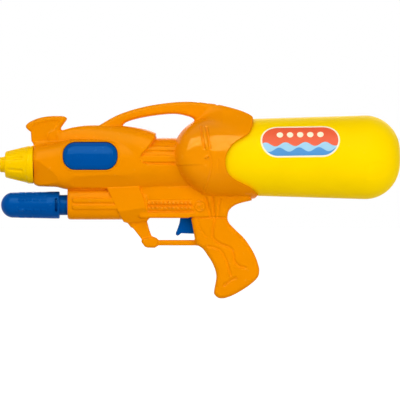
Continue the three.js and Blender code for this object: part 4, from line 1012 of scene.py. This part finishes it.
# %% Nozzle
NOZZLE = [
    (-250.8, 1.2), (-250.8, 7.6), *arc(-249.9, 7.6, 0.9, 0.9, 180, 90, 5), (-246.2, 8.7), (-244.9, 9.6),
    (-244.9, 12.8), *arc(-243.1, 12.8, 1.8, 1.8, 180, 105, 6), (-221.4, 20.0), (-219.8, 20.9),
    (-214.3, 21.0), (-213.5, 20.2), (-213.5, 17.8), (-220, 17.8), (-220, 9.4), (-238, 9.4), (-238, 1.2),
]
FLUTES, FLUTE_RADIUS = 8, 2.6
FLUTE_FRONT, FLUTE_REAR = (-241, 17.0), (-227, 20.0)
nozzle_mould = Mould((-252.5, -22.5, BARREL_Z - 22.5), (-211.5, 22.5, BARREL_Z + 22.5), step=0.4)
nozzle_field = turned_field(nozzle_mould, BARREL_Z, NOZZLE)
for side in spokes(FLUTES):
    front, rear = (np.array((x, 0, BARREL_Z)) + side * out for x, out in (FLUTE_FRONT, FLUTE_REAR))
    nozzle_field = cut(nozzle_field, bar_field(nozzle_mould, front, rear, FLUTE_RADIUS), edge=0.6)
nozzle = mesh_from_field("fluted_nozzle", nozzle_mould, nozzle_field)
fit(nozzle, nozzle_plastic, "nozzle", "nozzle", "nozzle")

# %% Pump handle
PUMP_HANDLE = [
    *arc(-236.2, 0, 13.5, 14.0, 180, 90, 24), (-191.5, 15.0), *arc(-186.4, 13.6, 1.4, 1.4, 90, 0, 6),
    (-185, 11.5), (-205.3, 11.5), (-205.3, 9.4), (-236, 9.4), (-246, 0),
]
BARS_ROUND, BARS_ALONG, BAR_FRONT, BAR_PITCH = 8, 4, -228.5, 8.2
BAR_LENGTH, BAR_RADIUS, BAR_OUT_FRONT, BAR_OUT_REAR = 4.4, 1.5, 13.6, 13.7
LUG_X, SLOT_HALF_LENGTH, SLOT_HALF_HEIGHT = -188.3, 1.3, 7
handle_mould = Mould((-251.3, -17, PUMP_Z - 17), (-183.5, 17, PUMP_Z + 17), step=0.5)
handle_field = turned_field(handle_mould, PUMP_Z, PUMP_HANDLE)
for side in spokes(BARS_ROUND):
    for i in range(BARS_ALONG):
        front = np.array((BAR_FRONT + i * BAR_PITCH, 0, PUMP_Z))
        rear = front + (BAR_LENGTH, 0, 0) + side * BAR_OUT_REAR
        bar = bar_field(handle_mould, front + side * BAR_OUT_FRONT, rear, BAR_RADIUS)
        handle_field = join(handle_field, bar, fillet=0.8)
lug_slot = np.maximum(np.abs(handle_mould.x - LUG_X) - SLOT_HALF_LENGTH,
                      np.abs(handle_mould.z - PUMP_Z) - SLOT_HALF_HEIGHT)
handle_field = cut(handle_field, lug_slot, edge=0.4)
pump_handle = mesh_from_field("pump_grip_sleeve", handle_mould, handle_field)
fit(pump_handle, blue_plastic, "pump", "pump_grip", "pump_handle")

# %% [markdown]
# ## Lathe work: pump rod and tank
#
# The pump rod and the tank are plain turned forms whose long reflections show every facet, so they are
# lathed directly with many sides. The tank is a blown bottle: it swells slightly towards its end, has a
# big soft corner there, and a shallow square mark on the side.


# %% A lathe
SHARP = 40


def lathe(name, loop, axis_z, sides, dent=None):
    """A closed half profile turned about X as a mesh. dent moves points inwards by place."""
    profile = np.array(loop)
    x, radius = (np.repeat(column, sides) for column in profile.T)
    angle = np.tile(np.arange(sides) / sides * 2 * math.pi, len(profile))
    if dent:
        radius = radius - dent(x, angle, radius)
    points = np.stack([x, radius * np.cos(angle), axis_z + radius * np.sin(angle)], axis=1) * MM
    faces = []
    for i in range(len(profile)):
        a, b = i * sides, (i + 1) % len(profile) * sides
        faces += [(a + j, a + (j + 1) % sides, b + (j + 1) % sides, b + j) for j in range(sides)]
    mesh = bpy.data.meshes.new(name)
    mesh.from_pydata(points.tolist(), [], faces)
    build = bmesh.new()
    build.from_mesh(mesh)
    bmesh.ops.remove_doubles(build, verts=build.verts, dist=1e-6)
    bmesh.ops.recalc_face_normals(build, faces=build.faces)
    build.to_mesh(mesh)
    build.free()
    return smooth_piece(name, mesh, SHARP)


def evenly(points, step):
    """The same line with points no further apart than a step."""
    made = [points[0]]
    for (ax, ar), (bx, br) in zip(points, points[1:]):
        parts = max(1, math.ceil(math.hypot(bx - ax, br - ar) / step))
        made += [(ax + (bx - ax) * i / parts, ar + (br - ar) * i / parts) for i in range(1, parts + 1)]
    return made


# %% Pump rod and its lugs
ROD_RADIUS, ROD_BORE, ROD_SIDES = 11.2, 9.4, 64
ROD = [
    (-205, ROD_BORE), (-205, 10.9), (-204.7, ROD_RADIUS), (-74.2, ROD_RADIUS), (-73.9, 10.9),
    (-73.9, ROD_BORE), (-205, ROD_BORE),
]
LUG_RADIUS, LUG_HALF_RISE, LUG_HALF_LENGTH, LUG_HALF_HEIGHT, LUG_INNER_Y = 11.7, 0.7, 0.6, 5.7, 6
rod = lathe("pump_rod_tube", evenly(ROD, step=4)[:-1], PUMP_Z, ROD_SIDES)
lug_mould = Mould((-190.5, -14, PUMP_Z - 7.5), (-186, 14, PUMP_Z + 7.5), step=0.3)
lug_x = np.abs(lug_mould.x - LUG_X) - LUG_HALF_LENGTH
lug_ring = np.abs(lug_mould.from_axis(PUMP_Z) - LUG_RADIUS) - LUG_HALF_RISE
lug_side = np.maximum(np.abs(lug_mould.z - PUMP_Z) - LUG_HALF_HEIGHT, LUG_INNER_Y - np.abs(lug_mould.y))
lugs = mesh_from_field("pump_rod_lugs", lug_mould, trim(np.maximum(lug_x, lug_ring), lug_side, edge=0.2))
fit(rod, blue_plastic, "pump", "pump_rod", "pump_rod")
fit(lugs, blue_plastic, "pump", "pump_rod", "pump_rod")

# %% Tank
TANK_OUT = [
    *arc(150.7, 7.9, 38, 38, 0, 90, 28), (4, 41.4), *arc(4, 25, 25, 16.4, 90, 180, 18), (-24, 19.4),
    (-25, 18.6), (-39.4, 18.6), (-39.9, 18.1),
]
TANK_IN = [
    (-39.9, 16.6), (-22, 16.6), *arc(4, 25, 23, 14.4, 180, 90, 18), *arc(150.7, 7.9, 36, 36, 90, 0, 28),
]
TANK_SIDES, ROUND_RADIUS = 256, 44
MARK_X, MARK_UP, MARK_HALF, MARK_DEPTH, MARK_EDGE = 160.5, 15.5, 9.2, 0.35, 1.2
MOULD_LINE_RISE, MOULD_LINE_WIDTH = 0.18, 0.9
TANK_SKIN = ([4, 150, 190], [40.4, 45.0, 20])


def tank_dent(x, angle, radius):
    """A shallow square mark on the left side and a fine ridge where the mould halves met."""
    outer = radius > np.interp(x, *TANK_SKIN)
    up = (angle - math.pi) * ROUND_RADIUS
    mark = np.maximum(np.abs(x - MARK_X), np.abs(up - MARK_UP)) - MARK_HALF
    seam = np.abs(np.cos(angle)) * ROUND_RADIUS
    dent = MARK_DEPTH * np.clip(0.5 - mark / MARK_EDGE, 0, 1)
    return np.where(outer, dent - MOULD_LINE_RISE * np.clip(1 - seam / MOULD_LINE_WIDTH, 0, 1), 0)


tank_loop = evenly([(188.7, 0.0), *TANK_OUT], step=2.0) + evenly([*TANK_IN, (186.7, 0.0)], step=4.0)
tank = lathe("tank_bottle", tank_loop, TANK_Z, TANK_SIDES, tank_dent)
fit(tank, tank_plastic, "tank", "tank", "tank")

# %% [markdown]
# ## A label on the tank
#
# Such a tank carries a bright printed label on its side. This one has a plain pattern of waves and round
# drops in coral, pale blue and cream. The label is a thin closed sheet bent round the tank, with round
# ends; its print is drawn by a few nodes on its own flat coordinates, so its edges stay sharp.

# %% The label's sheet
LABEL_MIDDLE_X, LABEL_MIDDLE_ANGLE = 78.0, math.radians(24)
LABEL_LENGTH, LABEL_HEIGHT, LABEL_THICKNESS, LABEL_LIFT = 86.0, 38.0, 0.22, 0.03
LABEL_ROWS, LABEL_COLUMNS, LABEL_ARC = 24, 30, 10
TANK_TAPER = ([4, 150.7], [41.4, 45.9])


def label_columns():
    """Places along the label, closer together at its round ends, with the label's reach up at each."""
    end = LABEL_HEIGHT / 2
    straight = LABEL_LENGTH / 2 - end
    bow = end * np.sin(np.radians(np.linspace(-89, 89, 2 * LABEL_ARC + 1)))
    middle = np.linspace(-straight, straight, LABEL_COLUMNS)
    along = np.unique(np.concatenate([middle, straight + bow[LABEL_ARC:], -straight + bow[: LABEL_ARC + 1]]))
    over = np.maximum(np.abs(along) - straight, 0) / end
    return list(zip(along, end * np.sqrt(1 - over**2)))


def bent_label(name):
    """A thin closed sheet on the tank, with flat coordinates for its print."""
    build = bmesh.new()
    uv = build.loops.layers.uv.new("flat")

    def corner(along, up, lift):
        x = LABEL_MIDDLE_X + along
        radius = np.interp(x, *TANK_TAPER) + lift
        angle = LABEL_MIDDLE_ANGLE + up / radius
        place = Vector((x, -radius * math.cos(angle), TANK_Z + radius * math.sin(angle))) * MM
        return build.verts.new(place), (along / LABEL_LENGTH + 0.5, up / LABEL_HEIGHT + 0.5)

    def face(*corners):
        made = build.faces.new([vert for vert, _ in corners])
        for loop, (_, flat) in zip(made.loops, corners):
            loop[uv].uv = flat

    rings = []
    for x, reach in label_columns():
        rows = np.linspace(-reach, reach, LABEL_ROWS)
        upper = [corner(x, up, LABEL_LIFT + LABEL_THICKNESS) for up in rows]
        rings.append(upper + [corner(x, up, LABEL_LIFT) for up in rows[::-1]])
    for a, b in zip(rings, rings[1:]):
        for i in range(len(a)):
            face(a[i - 1], b[i - 1], b[i], a[i])
    for ring, way in ((rings[0], -1), (rings[-1], 1)):
        for i in range(LABEL_ROWS - 1):
            face(*[ring[i + 1], ring[i], ring[-1 - i], ring[-2 - i]][::way])
    return smooth_piece(name, mesh_of(build, name), SHARP)


# %% The label's print
CORAL, CREAM = linear(236, 98, 62), linear(252, 240, 206)
PALE_BLUE, MID_BLUE = linear(158, 206, 230), linear(84, 150, 208)
BORDER, WAVE_LENGTH, WAVE_HEIGHT = 1.7, 21.5, 2.3
WAVES = [
    # colour, level, start of the swell
    (PALE_BLUE, 14.5, 0.0),
    (MID_BLUE, 8.5, 2.0),
]
DROPS, DROP_PITCH, DROP_LEVEL, DROP_RADIUS = 5, 11.0, 26, 3.5


def print_on(material):
    """Waves, drops and a border over a coral ground, from the sheet's flat coordinates in millimetres."""
    tree = material.node_tree

    def calc(operation, *values):
        return maths(tree, operation, *values)

    def root_of_squares(a, b):
        return calc("SQRT", calc("ADD", calc("MULTIPLY", a, a), calc("MULTIPLY", b, b)))

    flat = add_node(tree, "ShaderNodeUVMap", {}, uv_map="flat").outputs[0]
    place = add_node(tree, "ShaderNodeSeparateXYZ", {0: flat}).outputs
    along = calc("MULTIPLY", place["X"], LABEL_LENGTH)
    up = calc("MULTIPLY", place["Y"], LABEL_HEIGHT)
    colour = CORAL
    for tint, level, start in WAVES:
        swell = calc("SINE", calc("MULTIPLY_ADD", along, 2 * math.pi / WAVE_LENGTH, start))
        crest = calc("MULTIPLY_ADD", swell, WAVE_HEIGHT, level)
        colour = mix_colours(tree, calc("LESS_THAN", up, crest), colour, tint)
    middle, end = LABEL_LENGTH / 2, LABEL_HEIGHT / 2
    shifted = calc("ADD", along, (DROPS - 0.5) * DROP_PITCH - middle)
    step = calc("SUBTRACT", calc("MODULO", shifted, DROP_PITCH), DROP_PITCH / 2)
    drop = calc("LESS_THAN", root_of_squares(step, calc("SUBTRACT", up, DROP_LEVEL)), DROP_RADIUS)
    aside = calc("ABSOLUTE", calc("SUBTRACT", along, middle))
    drops = calc("MULTIPLY", drop, calc("LESS_THAN", aside, DROPS / 2 * DROP_PITCH))
    colour = mix_colours(tree, drops, colour, CREAM)
    past = calc("MAXIMUM", calc("SUBTRACT", aside, middle - end), 0)
    rim = calc("GREATER_THAN", root_of_squares(past, calc("SUBTRACT", up, end)), end - BORDER)
    feed(tree, surface_of(material), {"Colour": mix_colours(tree, rim, colour, CREAM)})


# %% The label in place
label_print = finish("printed_label", CORAL, CREAM, gloss=0.3, wear_and_edge_highlight=0.2, shine=0.02)
print_on(label_print)
fit(bent_label("tank_label"), label_print, "tank", "tank")

# %% [markdown]
# ## Trigger
#
# The trigger is a thick blue plate that turns on a steel pin, with a rounded finger edge that hooks
# forwards at its foot.

# %% Trigger
TRIGGER = [
    (-6, -4), (-7.6, -9.3), (-8.4, -14.3), (-10.6, -20.9), (-12.3, -24.7), (-12.4, -27), (-10.8, -28.4),
    (-8.9, -27.6), (-6.7, -25.6), (11, -26.2), (12, -25.2), (12, -8.5), (6, -4),
]
TRIGGER_HALF, BOSS_RADIUS = 4.5, 5.0
trigger_mould = Mould((PIN[0] - 15, -6, PIN[1] - 31), (PIN[0] + 15, 6, PIN[1] + 7), step=0.4)
blade = [(PIN[0] + x, PIN[1] + z) for x, z in TRIGGER]
trigger_field = slab(trigger_mould, blade, TRIGGER_HALF, edge=1.3)
boss = np.maximum(rod_y(trigger_mould, *PIN, BOSS_RADIUS), np.abs(trigger_mould.y) - TRIGGER_HALF)
trigger_field = cut(join(trigger_field, boss, fillet=0.5), rod_y(trigger_mould, *PIN, PIN_HOLE))
trigger = mesh_from_field("trigger_blade", trigger_mould, trigger_field)
fit(trigger, blue_plastic, "trigger", "trigger", "trigger")

# %% [markdown]
# ## Valve spring
#
# The trigger pushes the valve's stem against a small coil spring. A spring gets shorter when its joint moves,
# so it is a piece of its own: a round wire along a helix, made as a curve with a thickness and then turned
# into a mesh.

# %% A coil spring
SPRING_TURNS, SPRING_RADIUS, SPRING_WIRE, SPRING_STEPS = 4, 3.1, 0.7, 28
spring_low, spring_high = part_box("valve_spring")
spring_front, spring_back = spring_low[0] + SPRING_WIRE / 2 * MM, spring_high[0] - SPRING_WIRE / 2 * MM
wire = bpy.data.curves.new("spring_wire", "CURVE")
wire.dimensions, wire.use_fill_caps = "3D", True
wire.bevel_depth, wire.bevel_resolution = SPRING_WIRE / 2 * MM, 3
coil = wire.splines.new("POLY")
coil.points.add(SPRING_TURNS * SPRING_STEPS)
for i, point in enumerate(coil.points):
    turn, share = i / SPRING_STEPS * 2 * math.pi, i / (SPRING_TURNS * SPRING_STEPS)
    x = spring_front + share * (spring_back - spring_front)
    point.co = (x, SPRING_RADIUS * MM * math.cos(turn), (VALVE_Z + SPRING_RADIUS * math.sin(turn)) * MM, 1)
bent_wire = add("spring_wire", wire)
coil_mesh = bpy.data.meshes.new_from_object(bent_wire.evaluated_get(bpy.context.evaluated_depsgraph_get()))
bpy.data.objects.remove(bent_wire)
spring = smooth_piece("valve_coil_spring", coil_mesh)
fit(spring, zinc_steel, "shell", "steel", "valve_spring")
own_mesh(spring)

# %% [markdown]
# ## Shell screws
#
# Eight self-tapping screws with pan heads and a cross recess sit deep in their holes on the right-hand
# side. One screw is modelled and copied to the eight places.

# %% One screw, eight places
HEAD_RADIUS, HEAD_MIDDLE, HEAD_HALF, PAN_RADIUS, PAN_Y = 3.0, 3.15, 0.95, 5.5, -1.4
CROSS_HALF, CROSS_REACH, CROSS_FLOOR = 0.45, 1.7, 3.0
CORE_RADIUS, THREAD_RISE, THREAD_PITCH = 1.1, 0.18, 1.3
SHANK_TIP, SHANK_TOP, POINT_LENGTH, POINT_SHARE = -4.4, 2.4, 2.0, 0.05
screw_mould = Mould((-3.6, -5, -3.6), (3.6, 4.8, 3.6), step=0.14)
x, y, z = screw_mould.x, screw_mould.y, screw_mould.z
away = np.sqrt(x**2 + z**2)
crown = np.sqrt(away**2 + (y - PAN_Y) ** 2) - PAN_RADIUS
head = trim(trim(away - HEAD_RADIUS, np.abs(y - HEAD_MIDDLE) - HEAD_HALF, edge=0.3), crown, edge=0.3)
bars = [np.maximum(np.abs(a) - CROSS_HALF, np.abs(b) - CROSS_REACH) for a, b in ((x, z), (z, x))]
head = cut(head, np.maximum(np.minimum(*bars), CROSS_FLOOR - y), edge=0.15)
winding = np.arctan2(z, x) / (2 * math.pi)
thread = THREAD_RISE * np.cos(2 * math.pi * (y / THREAD_PITCH - winding))
point = np.clip((y - SHANK_TIP) / POINT_LENGTH, POINT_SHARE, 1)
shank = trim(away - (CORE_RADIUS + thread) * point, span(y, SHANK_TIP, SHANK_TOP), edge=0.1)
screw = mesh_from_field("screw_form", screw_mould, join(head, shank, fillet=0.2))
for i, (place_x, place_z) in enumerate(SCREWS, 1):
    copy = add(f"cross_head_screw_{i}", screw.data.copy())
    copy.data.transform(Matrix.Translation(Vector((place_x, 0, place_z)) * MM))
    fit(copy, zinc_steel, "shell", "steel", f"shell_screw_{i}")
bpy.data.objects.remove(screw)

# %% [markdown]
# ## The pieces inside
#
# The pump cylinder, valve, hoses and seals are hidden by the shell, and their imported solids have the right
# shape, so they stay and only get their materials.

# %% Materials for the inner pieces
INNER = {
    inner_plastic: ["barrel_pipe", "piston", "pump_bush", "pump_cylinder", "check_valve_seat",
                    "check_valve_cap", "tank_socket", "valve_body", "valve_gland", "valve_stem"],
    seal_rubber: ["nozzle_washer", "piston_ring", "check_valve_flap", "tank_gasket", "stem_ring"],
    hose_plastic: ["air_hose", "water_hose", "delivery_hose", "pick_up_tube"],
    zinc_steel: ["trigger_pin"],
}
for material, names in INNER.items():
    for name in names:
        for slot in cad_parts[name].material_slots:
            slot.link = "OBJECT"
            slot.material = material
print("inner pieces:", sum(len(names) for names in INNER.values()))
